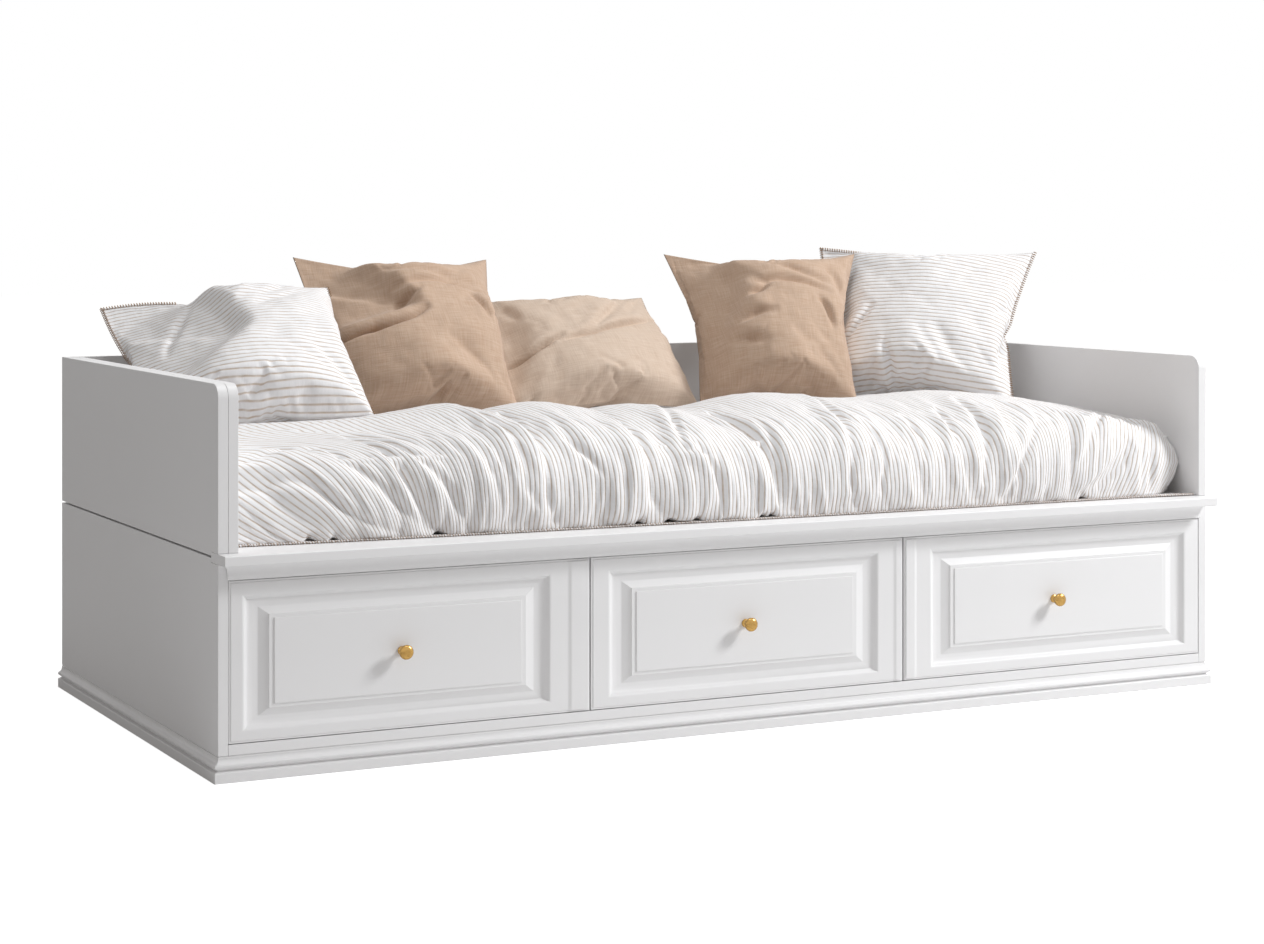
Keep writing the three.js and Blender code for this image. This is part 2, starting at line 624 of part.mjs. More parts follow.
function addMattress() {
  const middleY = mattressFrontY + mattressDepth / 2;
  const rings = mattressRings().map(([inset, height]) => {
    const halfX = mattressWidth / 2 - inset;
    const halfY = mattressDepth / 2 - inset;
    const radius = Math.max(mattressCorner - inset, mattressCorner / 4);
    const outline = [];
    for (const [signX, signY, start] of [[1, 1, 0], [-1, 1, 1], [-1, -1, 2], [1, -1, 3]]) {
      for (let step = 0; step <= cornerSteps; step += 1) {
        const angle = ((start + step / cornerSteps) * Math.PI) / 2;
        outline.push(new THREE.Vector3(signX * (halfX - radius) + radius * Math.cos(angle),
          middleY + signY * (halfY - radius) + radius * Math.sin(angle), height));
      }
    }
    return outline;
  });
  const count = rings[0].length;
  const poles = [mattressUnder, mattressTop].map((height) => new THREE.Vector3(0, middleY, height));
  const points = [...rings.flat(), ...poles];
  const triangles = [];
  for (let at = 0; at < count; at += 1) {
    const next = (at + 1) % count;
    for (let level = 0; level + 1 < rings.length; level += 1) {
      const [a, b] = [level * count + at, level * count + next];
      triangles.push([a, b, b + count], [a, b + count, a + count]);
    }
    const top = (rings.length - 1) * count;
    triangles.push([next, at, rings.length * count], [top + at, top + next, rings.length * count + 1]);
  }
  addPiece('mattress', closedBody(points, triangles), ticking());
}

// A closed sheet between two grids of points, joined round its edge
function closedSheet(upper, lower) {
  const rows = upper.length;
  const columns = upper[0].length;
  const points = [...upper.flat(), ...lower.flat()];
  const under = rows * columns;
  const triangles = [];
  for (let row = 0; row + 1 < rows; row += 1) {
    for (let column = 0; column + 1 < columns; column += 1) {
      const a = row * columns + column;
      const [b, c, d] = [a + 1, a + columns + 1, a + columns];
      for (const [p, q, r] of [[a, b, c], [a, c, d]]) {
        triangles.push([p, q, r], [under + p, under + r, under + q]);
      }
    }
  }
  const first = Array.from({ length: columns - 1 }, (_, column) => column);
  const right = Array.from({ length: rows - 1 }, (_, row) => (row + 1) * columns - 1);
  const opposite = (place) => rows * columns - 1 - place;
  const edge = [...first, ...right, ...first.map(opposite), ...right.map(opposite)];
  edge.forEach((a, at) => {
    const b = edge[(at + 1) % edge.length];
    triangles.push([a, under + a, under + b], [a, under + b, b]);
  });
  return closedBody(points, triangles);
}

// Straight lines through the rows of a table of shares
function readShares(rows, at) {
  const next = Math.max(1, rows.findIndex(([place]) => place >= at));
  const [[fromPlace, fromValue], [toPlace, toValue]] = [rows[next - 1], rows[next]];
  return fromValue + ((at - fromPlace) / (toPlace - fromPlace)) * (toValue - fromValue);
}

// Duvet: lies over the mattress in soft humps, swells over its front edge and falls to the ledge
function addDuvet() {
  const leftReach = liningX - fit - duvetGap;
  const rightReach = wallX - duvetEndGap;
  const backEdgeY = mattressFrontY + mattressDepth;
  const innerTop = mattressTop + duvetGap;
  const innerFrontY = mattressFrontY - fit - duvetGap;
  const hemZ = ledgeTop + duvetGap;
  const upper = [];
  const lower = [];
  for (let column = 0; column <= duvetColumns; column += 1) {
    const along = -1 + (2 * column) / duvetColumns;
    const x = along * (along > 0 ? rightReach : leftReach);
    const fullness = Math.max(Math.sqrt(1 - Math.abs(along) ** endFullnessPower), endFullnessShare);
    const crest = duvetCrestLoft * readShares(duvetCrestShares, along);
    const bulge = duvetBulge * readShares(duvetBulgeShares, along);
    const innerLine = [];
    const outerLine = [];
    duvetTopShares.forEach(([back, rise]) => {
      const y = backEdgeY - back * (backEdgeY - innerFrontY);
      const loft = duvetBackLoft + rise * (crest - duvetBackLoft) - duvetGap;
      innerLine.push(new THREE.Vector3(x, y, innerTop));
      outerLine.push(new THREE.Vector3(x, y, innerTop + Math.max(loft * fullness, duvetHemThickness)));
    });
    const shoulder = outerLine[outerLine.length - 1].z;
    duvetDropShares.forEach(([down, out]) => {
      innerLine.push(new THREE.Vector3(x, innerFrontY, innerTop - down * (innerTop - hemZ)));
      const swell = out * fullness * (bulge + duvetSpreadShare * (crest - duvetEvenLoft));
      outerLine.push(new THREE.Vector3(x, innerFrontY - Math.max(swell, duvetHemThickness),
        shoulder - down * (shoulder - hemZ)));
    });
    const hemY = innerFrontY - Math.max(bulge - duvetHemTuck, duvetHemThickness);
    innerLine.push(new THREE.Vector3(x, hemY, hemZ));
    outerLine.push(new THREE.Vector3(x, hemY - duvetHemThickness / 2, hemZ + duvetHemThickness));
    lower.push(innerLine);
    upper.push(outerLine);
  }
  return addPiece('duvet', closedSheet(upper, lower), clothOf.striped());
}

// Pillows: crowned on both faces, drawn in between their corners, leaning back on the duvet
function pillowGeometry(width, height, loft, taper) {
  const front = [];
  const back = [];
  for (let across = 0; across <= pillowGrid; across += 1) {
    const u = -1 + (2 * across) / pillowGrid;
    const frontLine = [];
    const backLine = [];
    for (let up = 0; up <= pillowGrid; up += 1) {
      const v = -1 + (2 * up) / pillowGrid;
      const x = (u * width * (1 - pillowPull * (1 - v * v)) * (1 - taper * (1 - v))) / 2;
      const z = ((1 + v * (1 - pillowPull * (1 - u * u))) * height) / 2;
      const swell = ((1 - u * u) * (1 - v * v)) ** pillowPlump * (1 - pillowSag * v);
      const half = (pillowSeam + (loft - pillowSeam) * swell) / 2;
      frontLine.push(new THREE.Vector3(x, -half, z));
      backLine.push(new THREE.Vector3(x, half, z));
    }
    front.push(frontLine);
    back.push(backLine);
  }
  return closedSheet(front, back);
}

// Lets a pillow down until it would meet the duvet, and leaves the usual gap
function seatPillow(pillow, duvetSolid) {
  let clear = mattressTop + duvetCrestLoft + pillowHeight;
  let sunk = mattressTop;
  while (clear - sunk > seatTolerance) {
    pillow.position.z = (clear + sunk) / 2;
    pillow.updateMatrix();
    const placed = solidOf(pillow.geometry.clone().applyMatrix4(pillow.matrix));
    if (duvetSolid.intersect(placed).getMesh().triVerts.length > 0) {
      sunk = pillow.position.z;
    } else {
      clear = pillow.position.z;
    }
  }
  pillow.position.z = clear + fit;
}

function addPillows(duvet) {
  const duvetSolid = solidOf(duvet.geometry);
  const toRadians = THREE.MathUtils.degToRad;
  for (const row of pillowShares) {
    const geometry = pillowGeometry(row.width * mattressWidth, row.height * pillowHeight,
      row.loft * pillowHeight, row.taper);
    const pillow = addPiece(row.name, geometry, clothOf[row.cloth]());
    pillow.rotation.set(-toRadians(row.lean), toRadians(row.roll), toRadians(row.turn), 'ZXY');
    pillow.position.set(row.across * mattressWidth, backInnerY - row.out * pillowHeight, 0);
    seatPillow(pillow, duvetSolid);
  }
}

addPlinth();
addSides();
addLedge();
addCornice();
addFrame();
addDrawers();
addMattress();
addPillows(addDuvet());

export default daybed;
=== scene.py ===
# Storage daybed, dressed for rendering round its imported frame. Metres, +Z up, +X along the bed,
# the drawers open towards -Y. The sections follow the bed as it is put together.
import math

import bmesh
import bpy
import numpy as np
from mathutils import Matrix, Vector


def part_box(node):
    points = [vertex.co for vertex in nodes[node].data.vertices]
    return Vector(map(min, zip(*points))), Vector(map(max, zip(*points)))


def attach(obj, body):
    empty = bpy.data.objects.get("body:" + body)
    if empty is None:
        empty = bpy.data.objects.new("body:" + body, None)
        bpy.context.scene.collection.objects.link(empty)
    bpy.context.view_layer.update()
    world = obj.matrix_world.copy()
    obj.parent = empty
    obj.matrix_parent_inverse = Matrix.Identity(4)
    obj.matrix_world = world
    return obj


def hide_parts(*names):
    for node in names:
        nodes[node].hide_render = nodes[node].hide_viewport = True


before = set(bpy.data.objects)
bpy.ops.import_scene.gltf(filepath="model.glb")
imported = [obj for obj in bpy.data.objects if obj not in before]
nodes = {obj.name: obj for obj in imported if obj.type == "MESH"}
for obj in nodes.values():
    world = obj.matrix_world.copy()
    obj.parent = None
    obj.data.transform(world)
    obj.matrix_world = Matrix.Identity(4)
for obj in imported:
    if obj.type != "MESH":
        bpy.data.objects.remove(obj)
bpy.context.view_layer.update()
CARCASS = "carcass"

# The photographer's view: a level camera a little above the pillows, left of the bed, with the
# picture shifted down so that the upright lines stay upright.
PHOTO_WIDTH = 1264
PHOTO_HEIGHT = 944
FOCAL_PIXELS = 2576
HORIZON_PIXEL = 227
SENSOR_WIDTH = 36
CAMERA_PLACE = (-2.39115, -4.6688, 0.93535)
CAMERA_TURN = -26.94


def linked(name, data):
    thing = bpy.data.objects.new(name, data)
    bpy.context.collection.objects.link(thing)
    return thing


camera_data = bpy.data.cameras.new("camera")
camera_data.sensor_width = SENSOR_WIDTH
camera_data.lens = FOCAL_PIXELS / PHOTO_WIDTH * SENSOR_WIDTH
camera_data.shift_y = (HORIZON_PIXEL - PHOTO_HEIGHT / 2) / PHOTO_WIDTH
camera = linked("camera", camera_data)
camera.location = CAMERA_PLACE
camera.rotation_euler = (math.radians(90), 0, math.radians(CAMERA_TURN))
bpy.context.scene.camera = camera
bpy.context.scene.view_settings.view_transform = "Standard"

# The studio: a pale floor, a broad softbox over the bed, a key softbox from the front right and
# a dim warm room light. The room is white where the camera or a shiny surface sees it.
FLOOR_COLOUR = (0.93, 0.93, 0.93, 1)
FLOOR_GLOW = 0.78  # to the camera alone, so that the floor meets the white room
FLOOR_ROUGHNESS = 0.9
FLOOR_REACH = 30
FLOOR_DROP = 0.0004
WHITE = (1, 1, 1, 1)
ROOM_LIGHT = 0.26
ROOM_TINT = (1, 0.965, 0.94, 1)
LAMP_TINT = (0.97, 0.985, 1.0)
SOFTBOXES = {  # place, aim, width, height, watts
    "overhead_softbox": ((-0.2, -0.5, 3.2), (-0.2, -0.1, 0.4), 1.7, 1.5, 34),
    "key_softbox": ((4.6, -3.1, 3.9), (0, 0, 0.45), 1.3, 1.3, 318)}


def feed(node, inputs):
    """Fill a node's inputs; each value is a socket to join or a constant"""
    for name, value in inputs.items():
        if isinstance(value, bpy.types.NodeSocket):
            node.id_data.links.new(value, node.inputs[name])
        else:
            node.inputs[name].default_value = value


def add_node(tree, kind, inputs=None, **settings):
    node = tree.nodes.new(kind)
    for name, value in settings.items():
        setattr(node, name, value)
    feed(node, inputs or {})
    return node


def new_material(name, roughness, colour=(0.8, 0.8, 0.8, 1)):
    material = bpy.data.materials.new(name)
    material.use_nodes = True
    shader = material.node_tree.nodes["Principled BSDF"]
    feed(shader, {"Base Color": colour, "Roughness": roughness})
    return material, shader


def maths(operation, *values):
    """A Math node's result; each value is a socket or a number"""
    tree = next(value for value in values if isinstance(value, bpy.types.NodeSocket)).id_data
    node = add_node(tree, "ShaderNodeMath", dict(enumerate(values)), operation=operation)
    return node.outputs[0]


def remap(value, to_low, to_high, from_low=0.0, from_high=1.0):
    inputs = {"Value": value, "From Min": from_low, "From Max": from_high, "To Min": to_low,
              "To Max": to_high}
    return add_node(value.id_data, "ShaderNodeMapRange", inputs).outputs["Result"]


def mix_colour(share, first, second):
    inputs = {0: share, 6: first, 7: second}
    return add_node(share.id_data, "ShaderNodeMix", inputs, data_type="RGBA").outputs[2]


floor_mesh = bpy.data.meshes.new("floor")
floor_mesh.from_pydata([(x * FLOOR_REACH, y * FLOOR_REACH, -FLOOR_DROP)
                        for x, y in ((-1, -1), (1, -1), (1, 1), (-1, 1))], [], [(0, 1, 2, 3)])
floor = linked("floor", floor_mesh)
floor_material, floor_shader = new_material("floor", FLOOR_ROUGHNESS, FLOOR_COLOUR)
floor_rays = add_node(floor_material.node_tree, "ShaderNodeLightPath").outputs
floor_glow = maths("MULTIPLY", floor_rays["Is Camera Ray"], FLOOR_GLOW)
feed(floor_shader, {"Specular IOR Level": 0, "Emission Color": WHITE,
                    "Emission Strength": floor_glow})
floor_mesh.materials.append(floor_material)

world = bpy.data.worlds.new("room")
bpy.context.scene.world = world
world.use_nodes = True
room_tree = world.node_tree
room_rays = add_node(room_tree, "ShaderNodeLightPath").outputs
seen = maths("MAXIMUM", room_rays["Is Camera Ray"], room_rays["Is Glossy Ray"])
seen = maths("MAXIMUM", seen, room_rays["Is Transmission Ray"])
feed(room_tree.nodes["Background"], {
    "Color": mix_colour(seen, ROOM_TINT, WHITE),
    "Strength": remap(seen, ROOM_LIGHT, 1)})

for name, (place, aim, width, height, watts) in SOFTBOXES.items():
    light = bpy.data.lights.new(name, "AREA")
    light.shape = "RECTANGLE"
    light.size = width
    light.size_y = height
    light.energy = watts
    light.color = LAMP_TINT
    box = linked(name, light)
    box.location = place
    box.rotation_euler = (Vector(aim) - Vector(place)).to_track_quat("-Z", "Y").to_euler()

# The box: 18 mm boards, rails and mouldings of filled and sanded board, painted white in satin.
# Each board is taken round its edges with fine paper, so a copy with eased edges stands for it.
# The paint keeps the faint orange peel of a roller and is a little duller in places.
PAINT_COLOUR = (0.82, 0.81, 0.812, 1)
PAINT_WORN = (0.8, 0.795, 0.795, 1)
PAINT_ROUGHNESS = 0.42
PAINT_DULLING = (0.38, 0.48, 0.3, 0.7)  # roughness, from and to, over this range of the noise
PATCH_SCALE = 2.6
PEEL_SCALE = 420
PEEL_DEPTH = 0.0004
PEEL_STRENGTH = 0.25
EDGE_EASE = 0.0009
SHARP_ANGLE = math.radians(34)
FLAT_WIDTH = 0.006  # a strip wider than this is a flat face, and a narrower one part of a curve
MITRE_LENGTH = 0.006
LEAST_ANGLE = math.radians(3)
SAME_PLACE = 1e-6
SAME_PLANE = math.radians(0.5)


def object_place(shader):
    return add_node(shader.id_data, "ShaderNodeTexCoord").outputs["Object"]


def noise_texture(place, scale, detail=2.0, roughness=0.5):
    inputs = {"Vector": place, "Scale": scale, "Detail": detail, "Roughness": roughness}
    return add_node(place.id_data, "ShaderNodeTexNoise", inputs).outputs["Fac"]


def add_bump(shader, height, distance, strength):
    inputs = {"Height": height, "Distance": distance, "Strength": strength}
    bump = add_node(shader.id_data, "ShaderNodeBump", inputs)
    feed(shader, {"Normal": bump.outputs["Normal"]})


paint, paint_shader = new_material("white_paint", PAINT_ROUGHNESS, PAINT_COLOUR)
paint_place = object_place(paint_shader)
paint_patches = noise_texture(paint_place, PATCH_SCALE, 3)
feed(paint_shader, {
    "Roughness": remap(paint_patches, *PAINT_DULLING),
    "Base Color": mix_colour(paint_patches, PAINT_COLOUR, PAINT_WORN)})
add_bump(paint_shader, noise_texture(paint_place, PEEL_SCALE, 3), PEEL_DEPTH, PEEL_STRENGTH)


def link_piece(name, mesh, material, body):
    mesh.materials.clear()
    mesh.materials.append(material)
    piece = linked(name, mesh)
    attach(piece, body)
    return piece


def eased_board(name, body):
    work = bmesh.new()
    work.from_mesh(nodes[name].data)
    bmesh.ops.remove_doubles(work, verts=work.verts, dist=SAME_PLACE)
    bmesh.ops.dissolve_limit(work, angle_limit=SAME_PLANE, verts=work.verts, edges=work.edges)
    flat = {face for face in work.faces
            if face.calc_area() > FLAT_WIDTH * max(edge.calc_length() for edge in face.edges)}
    for edge in work.edges:
        keeps = flat.intersection(edge.link_faces) or edge.calc_length() < MITRE_LENGTH
        edge.smooth = not (keeps and edge.calc_face_angle(0) > LEAST_ANGLE)
    for face in work.faces:
        face.smooth = True
    mesh = bpy.data.meshes.new(name + "_eased")
    work.to_mesh(mesh)
    work.free()
    board = link_piece(name + "_eased", mesh, paint, body)
    ease = board.modifiers.new("eased", "BEVEL")
    ease.width = EDGE_EASE
    ease.segments = 2
    ease.limit_method = "ANGLE"
    ease.angle_limit = SHARP_ANGLE
    ease.harden_normals = True
    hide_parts(name)


for name in list(nodes):
    if name.startswith(("plinth_", "side_", "back_panel", "ledge_board", "cornice_", "front_",
                        "partition_")):
        eased_board(name, CARCASS)

# The slatted base, its ledgers and the drawer runners: planed birch, oiled. The grain runs
# along each piece, so the slats and runners share one material and the ledgers have the other.
BIRCH_PALE = (0.66, 0.47, 0.28, 1)
BIRCH_DARK = (0.50, 0.32, 0.17, 1)
BIRCH_ROUGHNESS = 0.5
GRAIN_STRETCH = 14
GRAIN_BANDS = (3.2, 4, 0.6)  # scale, detail and roughness of the noise
GRAIN_LINES = (34, 3, 0.6)
BAND_SHARE = 0.65
GRAIN_RANGE = (0.35, 0.65)
GRAIN_DEPTH = 0.0003
GRAIN_STRENGTH = 0.4


def node_group(name, kind, inputs, outputs):
    """A group with its sockets: the tree, what comes in, and the node that takes what goes out"""
    tree = bpy.data.node_groups.new(name, kind)
    for way, sockets in (("INPUT", inputs), ("OUTPUT", outputs)):
        for socket, value_kind in sockets.items():
            tree.interface.new_socket(socket, in_out=way, socket_type="NodeSocket" + value_kind)
    return tree, add_node(tree, "NodeGroupInput").outputs, add_node(tree, "NodeGroupOutput")


grain, grain_in, grain_out = node_group(
    "planed_grain", "ShaderNodeTree", {"Place": "Vector", "Pale": "Color", "Dark": "Color"},
    {"Colour": "Color", "Height": "Float"})
grain_bands = noise_texture(grain_in["Place"], *GRAIN_BANDS)
grain_lines = noise_texture(grain_in["Place"], *GRAIN_LINES)
grain_mix = maths("ADD", maths("MULTIPLY", grain_bands, BAND_SHARE),
                  maths("MULTIPLY", grain_lines, 1 - BAND_SHARE))
feed(grain_out, {
    "Colour": mix_colour(remap(grain_mix, 0, 1, *GRAIN_RANGE), grain_in["Pale"], grain_in["Dark"]),
    "Height": grain_lines})


def birch(name, stretch):
    material, shader = new_material(name, BIRCH_ROUGHNESS)
    place = add_node(shader.id_data, "ShaderNodeMapping",
                     {"Vector": object_place(shader), "Scale": stretch}).outputs["Vector"]
    planed = add_node(shader.id_data, "ShaderNodeGroup", {
        "Place": place, "Pale": BIRCH_PALE, "Dark": BIRCH_DARK}, node_tree=grain)
    feed(shader, {"Base Color": planed.outputs["Colour"]})
    add_bump(shader, planed.outputs["Height"], GRAIN_DEPTH, GRAIN_STRENGTH)
    return material


birch_across = birch("birch_across", (GRAIN_STRETCH, 1, GRAIN_STRETCH))
birch_along = birch("birch_along", (1, GRAIN_STRETCH, GRAIN_STRETCH))


def finish_node(name, material):
    nodes[name].data.materials.clear()
    nodes[name].data.materials.append(material)


for name in nodes:
    if name.startswith("slat_ledger"):
        finish_node(name, birch_along)
    elif name.startswith(("slat_", "runner_")):
        finish_node(name, birch_across)

# Three drawers: raised panel fronts with eased edges, painted like the box, and boxes of white
# faced board with a fine pearl grain that slide on the runners.
DRAWERS = ("drawer_1", "drawer_2", "drawer_3")
MELAMINE_ROUGHNESS = 0.45
MELAMINE_TONES = ((0.80, 0.80, 0.79, 1), (0.70, 0.70, 0.69, 1))
PEARL_SCALE = 900
PEARL_DEPTH = 0.0002
PEARL_STRENGTH = 0.3
melamine, melamine_shader = new_material("drawer_board", MELAMINE_ROUGHNESS)
pearl = noise_texture(object_place(melamine_shader), PEARL_SCALE, 2)
feed(melamine_shader, {"Base Color": mix_colour(pearl, *MELAMINE_TONES)})
add_bump(melamine_shader, pearl, PEARL_DEPTH, PEARL_STRENGTH)
for drawer in DRAWERS:
    eased_board(drawer + "_front", drawer)
    for part in ("side_left", "side_right", "bottom", "back"):
        finish_node(f"{drawer}_{part}", melamine)

# Knobs: turned from brass rod and polished, each with the screw that holds it from inside the
# drawer. The brass has dulled and tarnished a little.
KNOB_RADIUS = 0.0128
KNOB_PROJECTION = 0.028
# From the screw end out: share of the radius, share of the projection
KNOB_PROFILE = np.array(((62, 0), (62, 5.5), (55, 9), (40, 14), (33, 24), (34, 34), (42, 42),
    (62, 49), (85, 57), (97, 67), (100, 77), (95, 86), (80, 93), (55, 98), (25, 100),
    (0, 100.3))) / 100
STUD_RADIUS = 0.002
SCREW_HEAD = (0.0042, 0.0024)
KNOB_SIDES = 48
KNOB_SHARP_ANGLE = math.radians(40)
BRASS_COLOUR = (0.82, 0.56, 0.24, 1)
BRASS_ROUGHNESS = 0.2
BRASS_TONES = ((0.66, 0.42, 0.14, 1), (0.40, 0.22, 0.06, 1))
BRASS_DULLING = (0.14, 0.36, 0.3, 0.7)
TARNISH = (160, 4, 0.6)
TARNISH_DEPTH = 0.0006
TARNISH_STRENGTH = 0.35
brass, brass_shader = new_material("brass", BRASS_ROUGHNESS, BRASS_COLOUR)
tarnish = noise_texture(object_place(brass_shader), *TARNISH)
feed(brass_shader, {
    "Metallic": 1, "Base Color": mix_colour(tarnish, *BRASS_TONES),
    "Roughness": remap(tarnish, *BRASS_DULLING)})
add_bump(brass_shader, tarnish, TARNISH_DEPTH, TARNISH_STRENGTH)


def smooth_step(share, start, end, start_slope, end_slope):
    """From one value to the next with a given slope at each"""
    return ((2 * share ** 3 - 3 * share ** 2 + 1) * start + (3 * share ** 2 - 2 * share ** 3) * end
            + (share ** 3 - 2 * share ** 2 + share) * start_slope
            + (share ** 3 - share ** 2) * end_slope)


def smooth_line(values, finer):
    """A finer row of points on a smooth line through the given ones"""
    values = np.asarray(values, float)
    at = np.linspace(0, len(values) - 1, (len(values) - 1) * finer + 1)
    first = np.clip(at.astype(int), 0, len(values) - 2)
    slope = np.gradient(values, axis=0)
    return smooth_step((at - first)[:, None], values[first], values[first + 1], slope[first],
                       slope[first + 1])


def grid_faces(at):
    """Four-cornered faces between the rows and columns of an array of point numbers"""
    corners = (at[:-1, :-1], at[1:, :-1], at[1:, 1:], at[:-1, 1:])
    return np.stack(corners, -1).reshape(-1, 4).tolist()


def tube_faces(sides, count):
    """Faces round a tube of rings of points, and one over each end"""
    at = np.arange(count).reshape(-1, sides)
    around = grid_faces(np.concatenate([at, at[:, :1]], 1).T)
    return around + [at[0][::-1].tolist(), at[-1].tolist()]


def turned_knob(drawer):
    low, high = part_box(drawer + "_knob")
    middle_x, middle_z = (low[0] + high[0]) / 2, (low[2] + high[2]) / 2
    face_y = low[1] + KNOB_PROJECTION
    line = [(max(radius, 0) * KNOB_RADIUS, face_y - out * KNOB_PROJECTION)
            for radius, out in smooth_line(KNOB_PROFILE, 3)]
    head_radius, head_height = SCREW_HEAD
    line = [(head_radius * 0.8, high[1]), (head_radius, high[1] - head_height / 3),
            (head_radius, high[1] - head_height), (STUD_RADIUS, high[1] - head_height),
            (STUD_RADIUS, face_y)] + line[:-1]
    points = [(middle_x + radius * math.cos(turn), y, middle_z + radius * math.sin(turn))
              for radius, y in line
              for turn in np.linspace(0, 2 * math.pi, KNOB_SIDES, endpoint=False)]
    mesh = bpy.data.meshes.new(drawer + "_knob_turned")
    mesh.from_pydata(points, [], tube_faces(KNOB_SIDES, len(points)))
    work = bmesh.new()
    work.from_mesh(mesh)
    bmesh.ops.recalc_face_normals(work, faces=work.faces)
    work.to_mesh(mesh)
    work.free()
    mesh.shade_smooth()
    mesh.set_sharp_from_angle(angle=KNOB_SHARP_ANGLE)
    knob = link_piece(drawer + "_knob_turned", mesh, brass, drawer)
    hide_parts(drawer + "_knob")


for drawer in DRAWERS:
    turned_knob(drawer)

# Mattress: a sprung core in striped ticking with a piped seam round its top and its bottom edge.
# The bedding hides nearly all of it.
PIPING_RADIUS = 0.004
CORNER_RADIUS = 0.08
CORNER_STEPS = 10
CLOTH_ROUGHNESS = 0.88
CLOTH_GLOSS = 0.25
TICKING_PITCH = 0.018
TICKING_SHEEN = 0.05
TICKING_THREADS = 700
TICKING_COLOUR = (0.78, 0.77, 0.74, 1)
TICKING_TONES = ((0.80, 0.79, 0.76, 1), (0.36, 0.42, 0.52, 1))
TICKING_SOFTNESS = (0.8, 0.86)
TICKING_DEPTH = 0.0005
TICKING_STRENGTH = 0.5
WOVEN_THREADS = (((1, 0.05, 1), 2), ((0.05, 1, 1), 2), ((1, 1, 1), 3))  # stretch and detail
woven, woven_in, woven_out = node_group(
    "woven_cloth", "ShaderNodeTree", {"Cloth": "Vector", "Threads": "Float"},
    {"Height": "Float", "Slub": "Float"})


def thread_noise(cloth, threads, stretch, detail):
    """Noise drawn out along the warp or the weft"""
    drawn = add_node(cloth.id_data, "ShaderNodeVectorMath", {0: cloth, 1: stretch},
                     operation="MULTIPLY")
    return noise_texture(drawn.outputs[0], threads, detail)


warp, weft, fuzz = [thread_noise(woven_in["Cloth"], woven_in["Threads"], stretch, detail)
                    for stretch, detail in WOVEN_THREADS]
crossed = maths("ADD", warp, weft)
feed(woven_out, {
    "Height": maths("MULTIPLY", maths("ADD", crossed, fuzz), 1 / 3),
    "Slub": remap(crossed, 0, 1, 0.7, 1.3)})


def cloth_material(name, colour, sheen, threads):
    material, shader = new_material(name, CLOTH_ROUGHNESS, colour)
    feed(shader, {"Specular IOR Level": CLOTH_GLOSS, "Sheen Weight": sheen, "Sheen Roughness": 0.5})
    cloth = add_node(shader.id_data, "ShaderNodeUVMap", uv_map="cloth").outputs["UV"]
    weave = add_node(shader.id_data, "ShaderNodeGroup", {"Cloth": cloth, "Threads": threads},
                     node_tree=woven)
    return material, shader, weave.outputs, cloth


def stripe_mask(cloth, pitch, soft_from, soft_to):
    """0 between the stripes and 1 on them, and the share of the way from one to the next"""
    across = add_node(cloth.id_data, "ShaderNodeSeparateXYZ", {0: cloth}).outputs["X"]
    turn = maths("FRACT", maths("DIVIDE", across, pitch))
    away = maths("MULTIPLY", maths("ABSOLUTE", maths("SUBTRACT", turn, 0.5)), 2)
    return remap(away, 0, 1, soft_from, soft_to), away


ticking, ticking_shader, ticking_weave, ticking_cloth = cloth_material(
    "ticking", TICKING_COLOUR, TICKING_SHEEN, TICKING_THREADS)
ticking_mask, _ = stripe_mask(ticking_cloth, TICKING_PITCH, *TICKING_SOFTNESS)
feed(ticking_shader, {"Base Color": mix_colour(ticking_mask, *TICKING_TONES)})
add_bump(ticking_shader, ticking_weave["Height"], TICKING_DEPTH, TICKING_STRENGTH)


def rounded_outline(half_x, half_y, radius):
    centres = ((1, 1, 0), (-1, 1, 90), (-1, -1, 180), (1, -1, 270))
    return [(side_x * (half_x - radius) + radius * math.cos(math.radians(start + turn)),
             side_y * (half_y - radius) + radius * math.sin(math.radians(start + turn)))
            for side_x, side_y, start in centres
            for turn in np.linspace(0, 90, CORNER_STEPS)]


def cloth_mesh(name, points, faces, cloth):
    """A smooth mesh with its cloth map: for each point its place on the cloth"""
    mesh = bpy.data.meshes.new(name)
    mesh.from_pydata(np.asarray(points).tolist(), [], faces)
    corners = [point for face in faces for point in face]
    layer = mesh.uv_layers.new(name="cloth")
    layer.data.foreach_set("uv", np.asarray(cloth, np.float32)[corners].ravel())
    mesh.shade_smooth()
    return mesh


def build_mattress():
    low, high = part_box("mattress")
    half = [(top - foot) / 2 for foot, top in zip(low, high)]
    middle = [(top + foot) / 2 for foot, top in zip(low, high)]
    # Rings from the underside over the piping to half the height: how far in, and how high
    pipe = PIPING_RADIUS
    wall = [(0.030, 0), (0.010, 0.001), (pipe * 1.2, pipe)]
    wall += [(pipe * (1 - math.cos(turn)) / 2, pipe * (2 + math.sin(turn)))
             for turn in np.linspace(-1.4, 1.4, 7)]
    wall += [(pipe * 1.3, 0.015), (0.003, 0.04), (0.002, half[2])]
    wall += [(inward, 2 * half[2] - height) for inward, height in wall[-2::-1]]
    points = [(middle[0] + x, middle[1] + y, low[2] + height) for inward, height in wall
              for x, y in rounded_outline(half[0] - inward, half[1] - inward,
                                          CORNER_RADIUS - inward / 2)]
    mesh = cloth_mesh("mattress_sprung", points, tube_faces(4 * CORNER_STEPS, len(points)),
                      [(x, y + z) for x, y, z in points])
    mattress = link_piece("mattress_sprung", mesh, ticking, CARCASS)
    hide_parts("mattress")


build_mattress()

